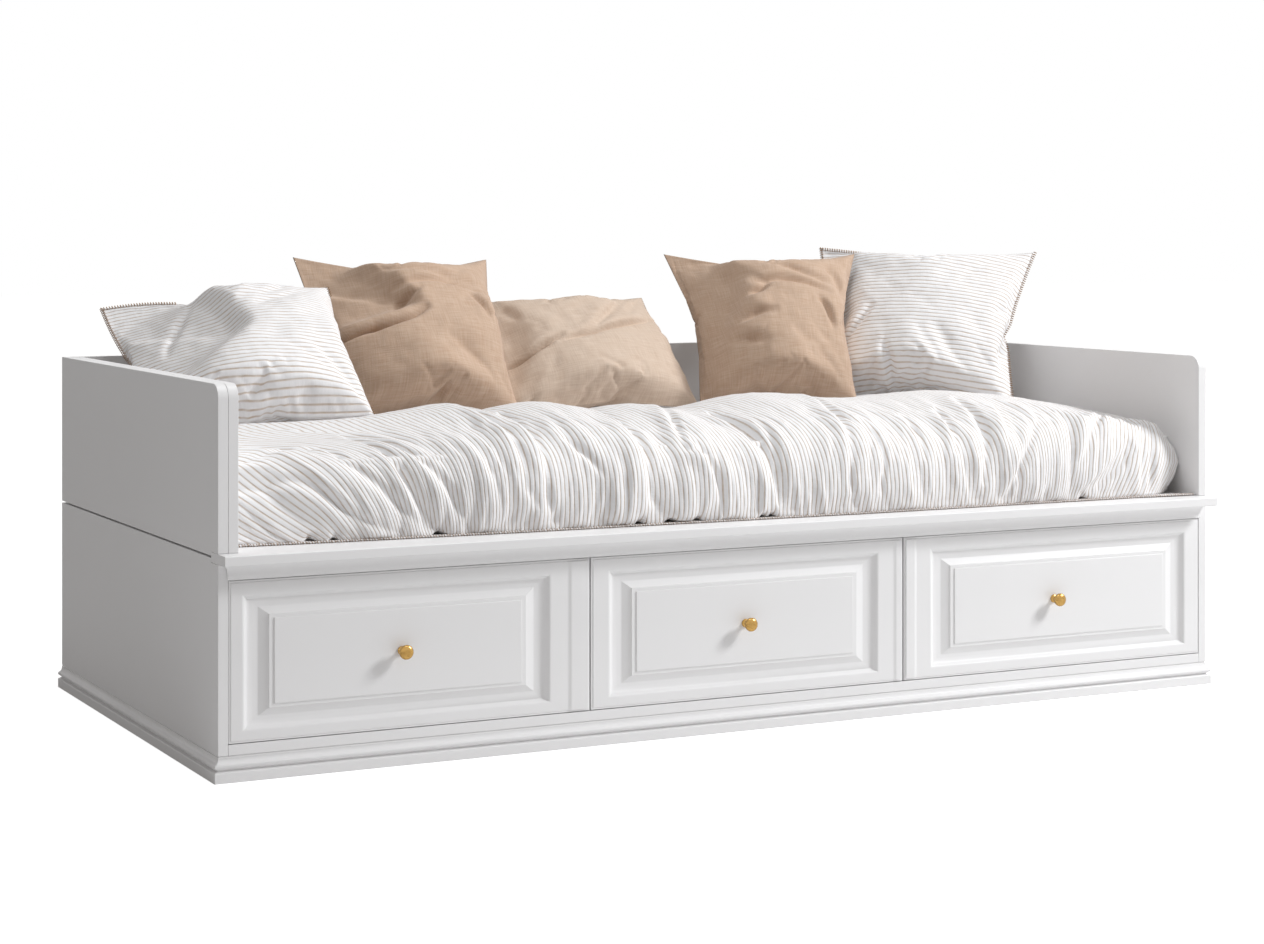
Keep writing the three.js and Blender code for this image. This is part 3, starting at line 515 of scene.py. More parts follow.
# Duvet: a full cotton duvet in a striped cover, wider than the bed, so that it is gathered in
# folds that run from the crest over the mattress's front edge down to a stitched hem on the ledge.
STRIPE_PITCH = 0.0098
STRIPE_SOFTNESS = (0.60, 0.92)
STRIPE_WEAR = (0.5, 0.95, 0.3, 0.7)
WEAR_SCALE = 60
GATHER = 1.13  # cloth for each metre of the bed
STRIPE_TAN = (0.55, 0.43, 0.33, 1)
COTTON_WHITE = (0.865, 0.863, 0.873, 1)
COTTON_SHEEN = 0.08
COTTON_THREADS = 900
PUCKER_THREADS = 170
PUCKER_STRETCH = (0.35, 1, 1)
PUCKER_HEIGHT = 0.9  # of the pucker and the weave, where the rib between two stripes is 1
WEAVE_HEIGHT = 0.25
RIB_DEPTH = 0.0010
RIB_STRENGTH = 0.7
striped, striped_shader, striped_weave, striped_cloth = cloth_material(
    "striped_cotton", COTTON_WHITE, COTTON_SHEEN, COTTON_THREADS)
line_mask, line_away = stripe_mask(striped_cloth, STRIPE_PITCH, *STRIPE_SOFTNESS)
line_worn = remap(noise_texture(striped_cloth, WEAR_SCALE, 3), *STRIPE_WEAR)
line_tan = maths("MULTIPLY", line_mask, line_worn)
feed(striped_shader, {"Base Color": mix_colour(line_tan, COTTON_WHITE, STRIPE_TAN)})
rib = maths("SUBTRACT", 1, maths("POWER", line_away, 3))
pucker = thread_noise(striped_cloth, PUCKER_THREADS, PUCKER_STRETCH, 2)
pucker = maths("MULTIPLY", maths("MULTIPLY", pucker, rib), PUCKER_HEIGHT)
weave = maths("MULTIPLY", striped_weave["Height"], WEAVE_HEIGHT)
add_bump(striped_shader, maths("ADD", maths("ADD", rib, pucker), weave), RIB_DEPTH, RIB_STRENGTH)

DUVET_LEFT = -1.0130
DUVET_RIGHT = 1.029
DUVET_COLUMNS = 620
DUVET_ROWS = 240
ROWS_CROWDED = 0.38  # the rows stand this share closer at the hem
MATTRESS_FRONT = -0.3954
DUVET_BACK = 0.503
BED_TOP = 0.5177
LEDGE_TOP = 0.3858
LEAST_PADDING = 0.009
CREST_WAY = 0.62  # where the crest lies on the section
CREST_SPREAD = 0.3  # how much of a rise of the crest the drape below it swells by
EVEN_CREST = 0.580
BACK_WAY = 0.86  # from here to the back the duvet lies level along the bed
BACK_LOFT = 0.198
FULLEST_WAY = 0.29  # where both ends are fuller, over the mattress's front edge
FULLER_LEFT = 0.13
FULLER_RIGHT = 0.14
END_ROUNDING = 0.13
END_TUCK = 0.020  # the right end's foot lies this far in from its belly
# The right end's front edge from the ledge up: height, distance from the bed's middle (mm)
END_FORM = np.array(((386, -385), (415, -412), (452, -430), (478, -412), (500, -375),
    (520, -335))) / 1000
END_SINK = 0.02
END_INNER = 0.09  # how far the duvet's underside draws back inside the rounded end
POCKET_REACH = 0.035
STRIPE_SLANT = 0.8  # how the stripes run to the right down the left end
STRIPE_LEAN = 0.45  # and to the left down the right end
SLANTING = (-0.86, -0.46)
LEANING = (0.56, 0.86)
STRAIGHT_BEHIND = (0.45, 1.05)  # metres of cloth up from the hem
# Height of the crest along the bed, and the hem's place on the ledge (mm)
CREST_LINE = np.array(((-1013, 560), (-875, 567), (-607, 577), (-536, 587), (-474, 595),
    (-432, 591), (-392, 577), (-347, 587), (-272, 594), (-207, 584), (-157, 573), (-119, 580),
    (-70, 584), (-18, 578), (34, 569), (96, 581), (142, 592), (202, 598), (283, 594), (343, 586),
    (452, 582), (526, 587), (638, 591), (727, 584), (831, 572), (936, 555), (1028, 550))) / 1000
HEM_LINE = np.array(((-1013, -412), (-983, -414), (-615, -436), (-230, -449), (239, -463),
    (758, -465), (1028, -466))) / 1000
# The section from the hem to the back: thousandths of the way, mm behind the swell of the drape,
# thousandths of the height between the ledge and the crest
SECTION = np.array(((0, 10, 4), (30, 5, 40), (80, 0, 160), (150, 0, 340), (220, 8, 520),
    (290, 30, 680), (370, 75, 810), (480, 165, 920), (620, 360, 1000), (740, 500, 900),
    (860, 640, 755), (1000, 965, 735))) / 1000
# Folds that stand out: points (mm along the bed, thousandths of the section's way), depth and
# half width (mm)
FOLDS = (
    (((-745, 460), (-687, 270), (-660, 160), (-621, 10)), 10, 10),
    (((-706, 320), (-670, 160), (-642, 40)), 9, 9),
    (((-440, 620), (-461, 260), (-442, 120)), 11, 11),
    (((-376, 580), (-415, 230), (-402, 50)), 12, 11),
    (((-956, 290), (-834, 365), (-778, 280), (-699, 140), (-642, 30)), 8, 11),
    (((-983, 200), (-876, 215), (-772, 100), (-697, 30)), 8, 11),
    (((-797, 530), (-728, 500), (-669, 365), (-603, 180), (-566, 30)), 11, 12),
    (((-349, 360), (-309, 210)), 7, 9),
    (((-160, 620), (-208, 220), (-192, 70)), 12, 12),
    (((-98, 340), (-68, 170), (-62, 60)), 9, 9),
    (((51, 550), (49, 250), (59, 90)), 11, 11),
    (((330, 620), (221, 240), (223, 70)), 12, 11),
    (((-7, 620), (-116, 345), (-93, 285)), 9, 10),
    (((290, 400), (294, 210), (279, 100)), 9, 9),
    (((407, 440), (388, 220)), 9, 9),
    (((515, 480), (463, 240)), 9, 9),
    (((603, 530), (540, 270), (522, 120)), 11, 11),
    (((648, 460), (588, 260)), 8, 9),
    (((674, 330), (604, 147), (571, 35)), 10, 10),
    (((890, 420), (753, 160)), 9, 11),
    (((883, 210), (755, 40)), 10, 10),
    (((893, 190), (767, 30)), 9, 9),
)
FOLD_LIP = 0.45
# Dark openings of the gathers at the hem: place along the bed, half width (mm)
HEM_OPENINGS = np.array(((-859, 10), (-814, 8), (-621, 14), (-228, 9), (-165, 12), (-108, 10),
    (29, 8), (49, 8), (765, 9))) / 1000
OPENING_DEPTH = 0.010
OPENING_REACH = 0.014


def between(table, at, column=1):
    """Smooth reading of a table at places along its first column"""
    table = np.asarray(table, float)
    x, y = table[:, 0], table[:, column]
    at = np.clip(at, x[0], x[-1])
    first = np.clip(np.searchsorted(x, at) - 1, 0, len(x) - 2)
    slope = np.gradient(y, x)
    width = x[first + 1] - x[first]
    return smooth_step((at - x[first]) / width, y[first], y[first + 1], width * slope[first],
                       width * slope[first + 1])


def ramp(low, high, value):
    share = np.clip((value - low) / (high - low), 0, 1)
    return share * share * (3 - 2 * share)


def cloth_noise(across, along, seed):
    """Smooth noise from -1 to 1 on two arrays of places"""
    turns = np.random.default_rng(seed).uniform(0, 2 * np.pi, (64, 64))
    cell_x, cell_y = np.floor(across).astype(int), np.floor(along).astype(int)
    x, y = across - cell_x, along - cell_y
    ease_x, ease_y = x * x * (3 - 2 * x), y * y * (3 - 2 * y)
    corner = {}
    for step_x in (0, 1):
        for step_y in (0, 1):
            turn = turns[(cell_x + step_x) % 64, (cell_y + step_y) % 64]
            corner[step_x, step_y] = np.cos(turn) * (x - step_x) + np.sin(turn) * (y - step_y)
    low = corner[0, 0] + ease_x * (corner[1, 0] - corner[0, 0])
    high = corner[0, 1] + ease_x * (corner[1, 1] - corner[0, 1])
    return 1.5 * (low + ease_y * (high - low))


def folded_noise(across, along, seed):
    """Rounded humps with narrow valleys between them, about level on the whole"""
    return np.sqrt(cloth_noise(across, along, seed) ** 2 + 0.004) - 0.34


def ridged_noise(across, along, seed):
    """Sharp ridges with rounded hollows between them, about level on the whole"""
    return 0.32 - np.abs(cloth_noise(across, along, seed))


# Gathers that follow the stripes: noise, height, size across and along the drape, shift along it,
# seed, and over which part of the section they set in and run out
GATHERS = (
    (folded_noise, 0.017, 0.10, 0.45, 0, 11, (0.0, 0.05), (0.40, 0.62)),
    (folded_noise, 0.0105, 0.042, 0.26, 3, 12, (0.0, 0.1), (0.40, 0.62)),
    (ridged_noise, 0.0050, 0.030, 0.20, 5, 15, (0.0, 0.08), (0.40, 0.62)),
    (folded_noise, 0.0040, 0.017, 0.10, 7, 13, (-1, 0), (0.14, 0.4)),
    (cloth_noise, 0.0009, 0.022, 0.03, 0, 14, (0.0, 0.05), (0.60, 0.74)))


def from_path(across, along, path):
    """Of each place: its distance from a smooth path, more than 0 on the path's right, the share
    of the path travelled there, and that point of the path"""
    path = smooth_line(path, 6)
    shape = np.broadcast(across, along).shape
    best, signed, travelled = np.full(shape, 1e9), np.zeros(shape), np.zeros(shape)
    near_x, near_y = np.zeros(shape), np.zeros(shape)
    steps = np.linalg.norm(np.diff(path, axis=0), axis=1)
    so_far = 0
    for (x0, y0), (x1, y1), step in zip(path, path[1:], steps):
        dx, dy = (x1 - x0) / step, (y1 - y0) / step
        held = np.clip((across - x0) * dx + (along - y0) * dy, 0, step)
        gap = np.hypot(across - x0 - held * dx, along - y0 - held * dy)
        side = (across - x0) * dy - (along - y0) * dx
        nearer = gap < best
        for values, new in ((signed, np.sign(side) * gap), (travelled, so_far + held),
                            (near_x, x0 + held * dx), (near_y, y0 + held * dy), (best, gap)):
            values[nearer] = new[nearer]
        so_far += step
    return signed, travelled / so_far, near_x, near_y


def crease(across, along, path, width, lip):
    """A fold's form round a path of points: a sharp valley with a fuller lip on its right"""
    signed, travelled = from_path(across, along, path)[:2]
    fade = np.sin(np.pi * np.clip(0.06 + travelled * 0.88, 0, 1)) ** 0.7
    ridge = signed / width
    form = -np.exp(-(ridge * 1.25) ** 2) + lip * np.exp(-((ridge - 1.7) / 1.5) ** 2)
    return form * fade


def stripe_places(x, metres):
    """Where the cloth's stripes lie: straight along the drape in the middle of the bed, slanting
    down to the right at its left end, leaning to the right at its right end, and straight again
    under the pillows"""
    lower = (metres + 0.3 - np.hypot(metres - 0.3, 0.05)) / 2  # goes no further than 0.3 m
    column = x[:, 0]
    straight, leaning = ramp(*SLANTING, column), ramp(*LEANING, column)
    slope = 0.5 + 0.5 * straight + 0.2 * np.gradient(straight, column)
    slope = slope - 0.1 * leaning + 0.1 * np.gradient(leaning, column)
    steps = np.diff(column) * (slope[1:] + slope[:-1]) / 2
    even = np.concatenate([[0], np.cumsum(steps)])
    even = even - np.interp(0, column, even)
    sideways = STRIPE_SLANT * (1 - straight) - STRIPE_LEAN * leaning
    drape = even[:, None] + sideways[:, None] * lower
    return drape + ramp(*STRAIGHT_BEHIND, metres) * (x - drape)


def pushed_out(y, z, out_y, out_z):
    """The same points, kept clear of the mattress's top front edge"""
    for _ in range(5):
        away_y, away_z = MATTRESS_FRONT - y, z - BED_TOP
        outside = np.hypot(np.maximum(away_y, 0), np.maximum(away_z, 0))
        depth = np.where((away_y < 0) & (away_z < 0), np.maximum(away_y, away_z), outside)
        short = np.maximum(LEAST_PADDING - depth, 0)
        y, z = y + out_y * short, z + out_z * short
    return y, z


def build_duvet():
    x = np.linspace(DUVET_LEFT, DUVET_RIGHT, DUVET_COLUMNS + 1)[:, None]
    way = np.linspace(0, 1, DUVET_ROWS + 1)[None, :]
    way = way * (1 - ROWS_CROWDED + ROWS_CROWDED * way)
    # The section swept along the bed, with the crest and the hem in their places
    crest = between(CREST_LINE, x)
    swell = between(HEM_LINE, x) - 0.006
    spread = CREST_SPREAD * np.clip(crest - EVEN_CREST, -0.015, 0.02) * ramp(0.02, 0.1, way)
    y = swell + between(SECTION, way, 1) - spread * (1 - ramp(0.3, 0.6, way))
    y = y + ramp(CREST_WAY, 1, way) * (DUVET_BACK - swell - SECTION[-1][1])
    fuller = FULLER_RIGHT * ramp(0.6, 0.9, x) + FULLER_LEFT * (1 - ramp(-0.95, -0.55, x))
    rise = between(SECTION, way, 2) + fuller * np.exp(-((way - FULLEST_WAY) / 0.12) ** 2)
    level = ramp(CREST_WAY, BACK_WAY, way)
    z = LEDGE_TOP + ((crest - LEDGE_TOP) * (1 - level) + BACK_LOFT * level) * rise
    middle = DUVET_COLUMNS // 2
    metres = np.concatenate([[0], np.cumsum(np.hypot(np.diff(y[middle]), np.diff(z[middle])))])
    metres = metres[None, :]
    # Gathers, folds and the openings at the hem, laid on along the section's outward direction
    stripe = stripe_places(x, metres) + 0.004 * cloth_noise(x * 4, metres * 4, 5)
    flow = stripe + 0.02 * cloth_noise(x * 5 + 3, metres * 7, 17)
    height = np.zeros(y.shape)
    for noise, deep, wide, long, shift, seed, sets_in, runs_out in GATHERS:
        height += (deep * noise(flow / wide, metres / long + shift, seed) * ramp(*sets_in, way)
                   * (1 - ramp(*runs_out, way)))
    for path, depth, width in FOLDS:
        path = [(place / 1000, np.interp(share / 1000, way[0], metres[0])) for place, share in path]
        height += depth / 1000 * crease(x + 0 * metres, metres + 0 * x, path, width / 1000,
                                        FOLD_LIP)
    for place, half in HEM_OPENINGS:
        height -= (OPENING_DEPTH * np.exp(-((x - place) / half) ** 2)
                   * np.exp(-(metres / OPENING_REACH) ** 2))
    along_y, along_z = np.gradient(y, axis=1), np.gradient(z, axis=1)
    length = np.hypot(along_y, along_z)
    out_y, out_z = -along_z / length, along_y / length
    y, z = pushed_out(y + height * out_y, z + height * out_z, out_y, out_z)
    # A pocket beside the left lining, and the rounded right end over the mattress's corner
    core_y = np.maximum(y, MATTRESS_FRONT - 0.003)
    core_z = np.minimum(z, BED_TOP + 0.003)
    pocket = np.clip((DUVET_LEFT + POCKET_REACH - x) / POCKET_REACH, 0, 1)
    beside = 1 - 0.5 * pocket ** 2 * (1 - ramp(0.12, 0.34, way))
    y, z = core_y + (y - core_y) * beside, core_z + (z - core_z) * beside
    into = np.clip((x - (DUVET_RIGHT - END_ROUNDING)) / END_ROUNDING, 0, 1)
    full = np.maximum(np.sqrt(1 - into ** 2), 0.06)
    sink = END_SINK * ramp(1.0, DUVET_RIGHT, x)
    z = core_z + (z - core_z) * full - sink * ramp(BED_TOP - 0.03, BED_TOP, z)
    formed = np.interp(z, *np.transpose(END_FORM))
    y = y + (1 - full) * (1 - ramp(-0.40, -0.25, y)) * (formed - y)
    z = np.maximum(z, LEDGE_TOP)
    place = x - END_TUCK * into ** 2 * (1 - ramp(0.0, 0.16, way)) ** 2
    # The underside, five lines along the mattress: place, height, and place on the cloth
    under_lines = ((MATTRESS_FRONT - 0.004, LEDGE_TOP, 0), (MATTRESS_FRONT, BED_TOP - 0.02, 0.1),
                   (MATTRESS_FRONT + 0.02, BED_TOP, 0.12), (0, BED_TOP, 0.4),
                   (DUVET_BACK, BED_TOP, 0.9))
    under = [(x + 0 * into, line_y + END_INNER * into ** 3 * (line_y < -0.3),
              line_z - sink * (line_z > 0.5)) for line_y, line_z, _ in under_lines[::-1]]
    x_under, y_under, z_under = [np.concatenate(part, 1) for part in zip(*under)]
    points = np.stack([np.concatenate(part, 1) for part in (
        (place, x_under), (y, y_under), (z, z_under))], -1)
    cloth = np.empty(points.shape[:2] + (2,))
    rows = DUVET_ROWS + 1
    cloth[:, :rows, 0], cloth[:, :rows, 1] = GATHER * stripe, metres
    cloth[:, rows:, 0] = GATHER * x
    cloth[:, rows:, 1] = [line_cloth for _, _, line_cloth in under_lines[::-1]]
    at = np.arange(cloth[..., 0].size).reshape(cloth.shape[:2])
    faces = grid_faces(np.concatenate([at, at[:, :1]], axis=1))
    faces += [at[0].tolist(), at[-1][::-1].tolist()]
    mesh = cloth_mesh("duvet_gathered", points.reshape(-1, 3), faces, cloth.reshape(-1, 2))
    duvet = link_piece("duvet_gathered", mesh, striped, CARCASS)
    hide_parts("duvet")


build_duvet()

# The duvet's hem: a flat double edge of the cover that lies on the ledge under the drape, sewn
# over with brown thread. One tree of loops sews this hem and the pillows' edges.
HEM_THICK = 0.0022
HEM_COLUMNS = 560
HEM_LEFT = -1.011
HEM_RIGHT = 1.030
HEM_FLAP = 0.014  # how far its right end comes forward, and how far that end lifts
HEM_FLAP_LIFT = 0.0014
HEM_STITCHES = (0.0052, 0.0024, 0.0005)  # pitch, radius of the loops and of the thread
STITCH_SLANT = 0.4
THREAD_BROWN = (0.27, 0.16, 0.095, 1)
THREAD_PALE = (0.42, 0.28, 0.18, 1)
THREAD_ROUGHNESS = 0.75
THREAD_TONE_SCALE = 260
TWIST_SCALE = 2400
TWIST_DEPTH = 0.0003
TWIST_STRENGTH = 0.5
thread, thread_shader = new_material("brown_thread", THREAD_ROUGHNESS, THREAD_BROWN)
thread_place = object_place(thread_shader)
thread_tone = noise_texture(thread_place, THREAD_TONE_SCALE, 2)
feed(thread_shader, {"Base Color": mix_colour(thread_tone, THREAD_BROWN, THREAD_PALE)})
add_bump(thread_shader, noise_texture(thread_place, TWIST_SCALE, 1), TWIST_DEPTH, TWIST_STRENGTH)
sewing, sewing_in, sewing_out = node_group(
    "whip_stitches", "GeometryNodeTree",
    {"Seam": "Geometry", "Pitch": "Float", "Loop radius": "Float", "Thread radius": "Float",
     "Slant": "Float", "Thread": "Material"}, {"Stitches": "Geometry"})
seam_curve = add_node(sewing, "GeometryNodeMeshToCurve", {"Mesh": sewing_in["Seam"]})
seam_points = add_node(sewing, "GeometryNodeCurveToPoints", {
    "Curve": seam_curve.outputs["Curve"], "Length": sewing_in["Pitch"]}, mode="LENGTH").outputs
loop_line, thread_line = [
    add_node(sewing, "GeometryNodeCurvePrimitiveCircle", {"Resolution": sides, "Radius": radius})
    for sides, radius in ((9, sewing_in["Loop radius"]), (4, sewing_in["Thread radius"]))]
loop_mesh = add_node(sewing, "GeometryNodeCurveToMesh", {
    "Curve": loop_line.outputs["Curve"], "Profile Curve": thread_line.outputs["Curve"]})
slant = add_node(sewing, "ShaderNodeCombineXYZ", {"X": sewing_in["Slant"]})
slanted = add_node(sewing, "FunctionNodeRotateRotation", {
    "Rotation": seam_points["Rotation"], "Rotate By": slant.outputs["Vector"]},
    rotation_space="LOCAL")
sewn = add_node(sewing, "GeometryNodeInstanceOnPoints", {
    "Points": seam_points["Points"], "Instance": loop_mesh.outputs["Mesh"],
    "Rotation": slanted.outputs["Rotation"]})
loops = add_node(sewing, "GeometryNodeRealizeInstances", {"Geometry": sewn.outputs["Instances"]})
threaded = add_node(sewing, "GeometryNodeSetMaterial", {
    "Geometry": loops.outputs["Geometry"], "Material": sewing_in["Thread"]})
feed(sewing_out, {"Stitches": threaded.outputs["Geometry"]})


def whip_stitch(name, line, pitch, loop_radius, thread_radius):
    """Loops of brown thread sewn over an edge that runs along a line of points"""
    seam = bpy.data.meshes.new(name + "_seam")
    seam.from_pydata(line.tolist(), [(at, at + 1) for at in range(len(line) - 1)], [])
    holder = linked(name + "_seam", seam)
    stitches = holder.modifiers.new("stitches", "NODES")
    stitches.node_group = sewing
    values = {"Pitch": pitch, "Loop radius": loop_radius, "Thread radius": thread_radius,
              "Slant": STITCH_SLANT, "Thread": thread}
    for socket in sewing.interface.items_tree:
        if socket.name in values:
            stitches[socket.identifier] = values[socket.name]
    settled = holder.evaluated_get(bpy.context.evaluated_depsgraph_get())
    mesh = bpy.data.meshes.new_from_object(settled)
    bpy.data.objects.remove(holder)
    mesh.name = name
    mesh.shade_smooth()
    link_piece(name, mesh, thread, CARCASS)


def build_hem():
    x = np.linspace(HEM_LEFT, HEM_RIGHT, HEM_COLUMNS + 1)
    # Small waves of the edge: height, size along the bed, place across the noise, seed
    sway, quiver, ruffle, swelling = [
        deep * cloth_noise(x / size, x * 0 + across, seed) for deep, size, across, seed in (
            (0.0014, 0.03, 0.5, 31), (0.0008, 0.009, 0, 32), (0.0008, 0.02, 0.3, 33),
            (0.0006, 0.013, 0.7, 34))]
    flap = ramp(0.86, 1.02, x)
    edge_y = between(HEM_LINE, x) - 0.0065 + sway + quiver - HEM_FLAP * flap
    lift = np.abs(ruffle) + HEM_FLAP_LIFT * flap
    thick = HEM_THICK + swelling
    closing = ramp(1.012, 1.03, x)
    back_y = (between(HEM_LINE, x) + 0.014) * (1 - closing) + (edge_y + 0.004) * closing
    low = LEDGE_TOP + 0.0001
    line = [(x, back_y, low + 0 * x), (x, edge_y + 0.001, low + lift * 0.7),
            (x, edge_y, low + lift + thick / 2), (x, edge_y + 0.0012, low + lift + thick),
            (x, back_y, low + thick)]
    points = np.stack([np.stack(row, -1) for row in line], 1).reshape(-1, 3)
    mesh = cloth_mesh("duvet_hem", points, tube_faces(len(line), len(points)),
                      points[:, :2] * GATHER)
    link_piece("duvet_hem", mesh, striped, CARCASS)
    seam = np.stack([x, edge_y + 0.0016, low + lift + thick / 2], -1)
    whip_stitch("duvet_hem_stitches", seam[2:-2], *HEM_STITCHES)


build_hem()

# Pillows: feather pads in sewn covers, two of the striped cotton and three of tan linen. Each is
# two squares of cloth sewn together and filled, then creased as it was put down.
LINEN_TONES = {  # the middle pillow's cover is of a paler dyeing
    "tan_linen": ((0.56, 0.42, 0.32, 1), (0.465, 0.32, 0.225, 1)),
    "tan_linen_pale": ((0.63, 0.515, 0.42, 1), (0.54, 0.415, 0.32, 1))}
LINEN_SHEEN = 0.15
LINEN_THREADS = 450
LINEN_DEPTH = 0.0012
LINEN_STRENGTH = 0.7
PILLOW_CELLS = 60
SEAM_ALLOWANCE = 1.03
CLOTH_FRAMES = 16
CLOTH_SETTINGS = dict(
    quality=6, mass=0.15, tension_stiffness=20, compression_stiffness=20, shear_stiffness=7,
    bending_stiffness=0.5, tension_damping=5, compression_damping=5, use_pressure=True,
    uniform_pressure_force=2.4)
FRONT_FULLNESS = 1.85  # the face bulges more than the back, which lies against its support
BACK_FULLNESS = 0.8
CROWN_POWER = 1.15
PILLOW_SAG = 0.3
FOOT_DRAWN = -0.05
SHADE_SOFTNESS = 0.010
FALL_POWER = 0.75  # under 1, so that a fallen side is steep at its rim too
FALL_DENT = 0.28  # and the share that it sinks by beside its path
FALL_REACH = 0.045
CREASE_DEPTH = 1.4  # on all the depths in the table
CREASE_LIP = 0.2
BEND_START = -0.15
BEND_SOFTNESS = 0.05
BEND_WAY = np.array((0.5, 1, 0))
PILLOW_STITCHES = (0.0056, 0.0036, 0.0008)
linens = {}
for linen_name, (linen_pale, linen_dark) in LINEN_TONES.items():
    linen, linen_shader, linen_weave, _ = cloth_material(
        linen_name, linen_pale, LINEN_SHEEN, LINEN_THREADS)
    feed(linen_shader, {"Base Color": mix_colour(linen_weave["Slub"], linen_dark, linen_pale)})
    add_bump(linen_shader, linen_weave["Height"], LINEN_DEPTH, LINEN_STRENGTH)
    linens[linen_name] = linen
# Of each pillow: place of its foot; turns about Z, X and Y; width, height and loft; how far the
# foot narrows; how far the sides and the top edge are drawn in; seed; how many degrees the left
# side bends back; sides that fall away to the left of a path (points in hundredths of the half
# sizes); creases (points in the same way, depth and half width in mm)
PILLOWS = {
    "pillow_striped_left": dict(
        foot=(-0.764, 0.13928, 0.541), turn=-12, lean=52, roll=-8,
        size=(0.486, 0.404, 0.124), taper=0.02, drawn_in=(-0.03, -0.15),
        seed=21, bend=16, cloth=striped, sides=(
            ((-45, -55), (-10, -30), (8, -7), (10.5, 14), (2, 50), (-10, 78)),),
        creases=(
            (((2, 85), (8, 73), (16, 80)), 6, 14),
            (((-23, 72), (-37, 45), (-54, 12), (-60, -6)), 5, 10),
            (((-15, -90), (3, -80), (14, -85)), 6, 12))),
    "pillow_tan_left": dict(
        foot=(-0.354, 0.30534, 0.535), turn=-1, lean=32, roll=1,
        size=(0.450, 0.392, 0.136), taper=-0.01, drawn_in=(0.04, 0.05),
        seed=22, bend=16, cloth=linens["tan_linen"], sides=(
            ((-80, -24), (-60, -16), (-10, -2), (5, 12), (-2, 34), (-16, 58), (-30, 76)),),
        creases=(
            (((5, 5), (-16, -7), (-50, -18), (-90, -28)), 22, 10),
            (((5, 33), (-8, 22), (-22, 6)), 9, 10),
            (((73, 34), (49, 44), (24, 48), (-14, 40)), 10, 12),
            (((80, 43), (36, 57), (-3, 65), (-31, 68)), 8, 14),
            (((70, 0), (67, 14), (58, 30)), 9, 9),
            (((12, -96), (19, -78)), 7, 9),
            (((24, -98), (29, -82)), 7, 9))),
    "pillow_tan_middle": dict(
        foot=(0.058, 0.27722, 0.540), turn=3, lean=43, roll=0,
        size=(0.436, 0.322, 0.090), taper=-0.05, drawn_in=(0.0, -0.05),
        seed=23, bend=8, cloth=linens["tan_linen_pale"], sides=(
            ((-66, -40), (-60, -10), (-58, 10), (-66, 45)),),
        creases=(
            (((-33, -4), (-70, -24), (-92, -33)), 14, 8),
            (((80, 37), (57, 26), (6, 2), (-12, -4), (-36, -13)), 12, 8),
            (((54, 71), (44, 56), (20, 27), (-3, 2)), 8, 12),
            (((-65, 37), (-69, 52), (-75, 67)), 5, 14),
            (((10, 93), (30, 88), (50, 90)), 7, 9),
            (((-72, -84), (-80, -96)), 7, 10))),
    "pillow_tan_right": dict(
        foot=(0.441, 0.19134, 0.545), turn=-17, lean=31, roll=0,
        size=(0.440, 0.384, 0.122), taper=0.10, drawn_in=(0.05, 0.05),
        seed=24, bend=22, cloth=linens["tan_linen"], sides=(
            ((-72, -70), (-55, -38), (-34, 2), (-28, 42), (-36, 74)),),
        creases=(
            (((61, 28), (34, 39), (8, 42), (-23, 37)), 11, 12),
            (((69, 39), (45, 49), (20, 61), (-6, 69)), 8, 12),
            (((-8, 35), (-17, 26), (-32, 19)), 12, 11),
            (((-6, -4), (-27, -9), (-46, -17)), 11, 12),
            (((-22, -43), (-38, -41), (-58, -40)), 8, 13),
            (((78, 20), (75, 46), (65, 66)), 8, 13),
            (((-92, 92), (-93, 30), (-93, -30), (-92, -90)), 3, 4),
            (((63, -22), (59, -2), (50, 15)), 10, 9))),
    "pillow_striped_right": dict(
        foot=(0.728, 0.1379, 0.546), turn=-44, lean=34, roll=1,
        size=(0.498, 0.404, 0.112), taper=0.015, drawn_in=(0.05, -0.06),
        seed=25, bend=0, cloth=striped, sides=(
            ((-66, -70), (-58, -40), (-50, -5), (-58, 40)),),
        creases=(
            (((-35, -3), (-45, -23), (-58, -46)), 8, 9),
            (((-17, -54), (-11, -72), (-11, -88)), 11, 11),
            (((95, -8), (92, -42), (88, -69)), 6, 12))),
}
# Where brown thread shows on the striped pillows' edges: along which edge, from where to where
SEWN_EDGES = {
    "pillow_striped_left": (("left", -0.9, 1.0), ("top", -1.0, -0.35), ("right", 0.86, 1.0),
                            ("right", -1.0, -0.88)),
    "pillow_striped_right": (("top", -1.0, -0.45), ("left", 0.5, 1.0), ("right", -0.9, 1.0)),
}


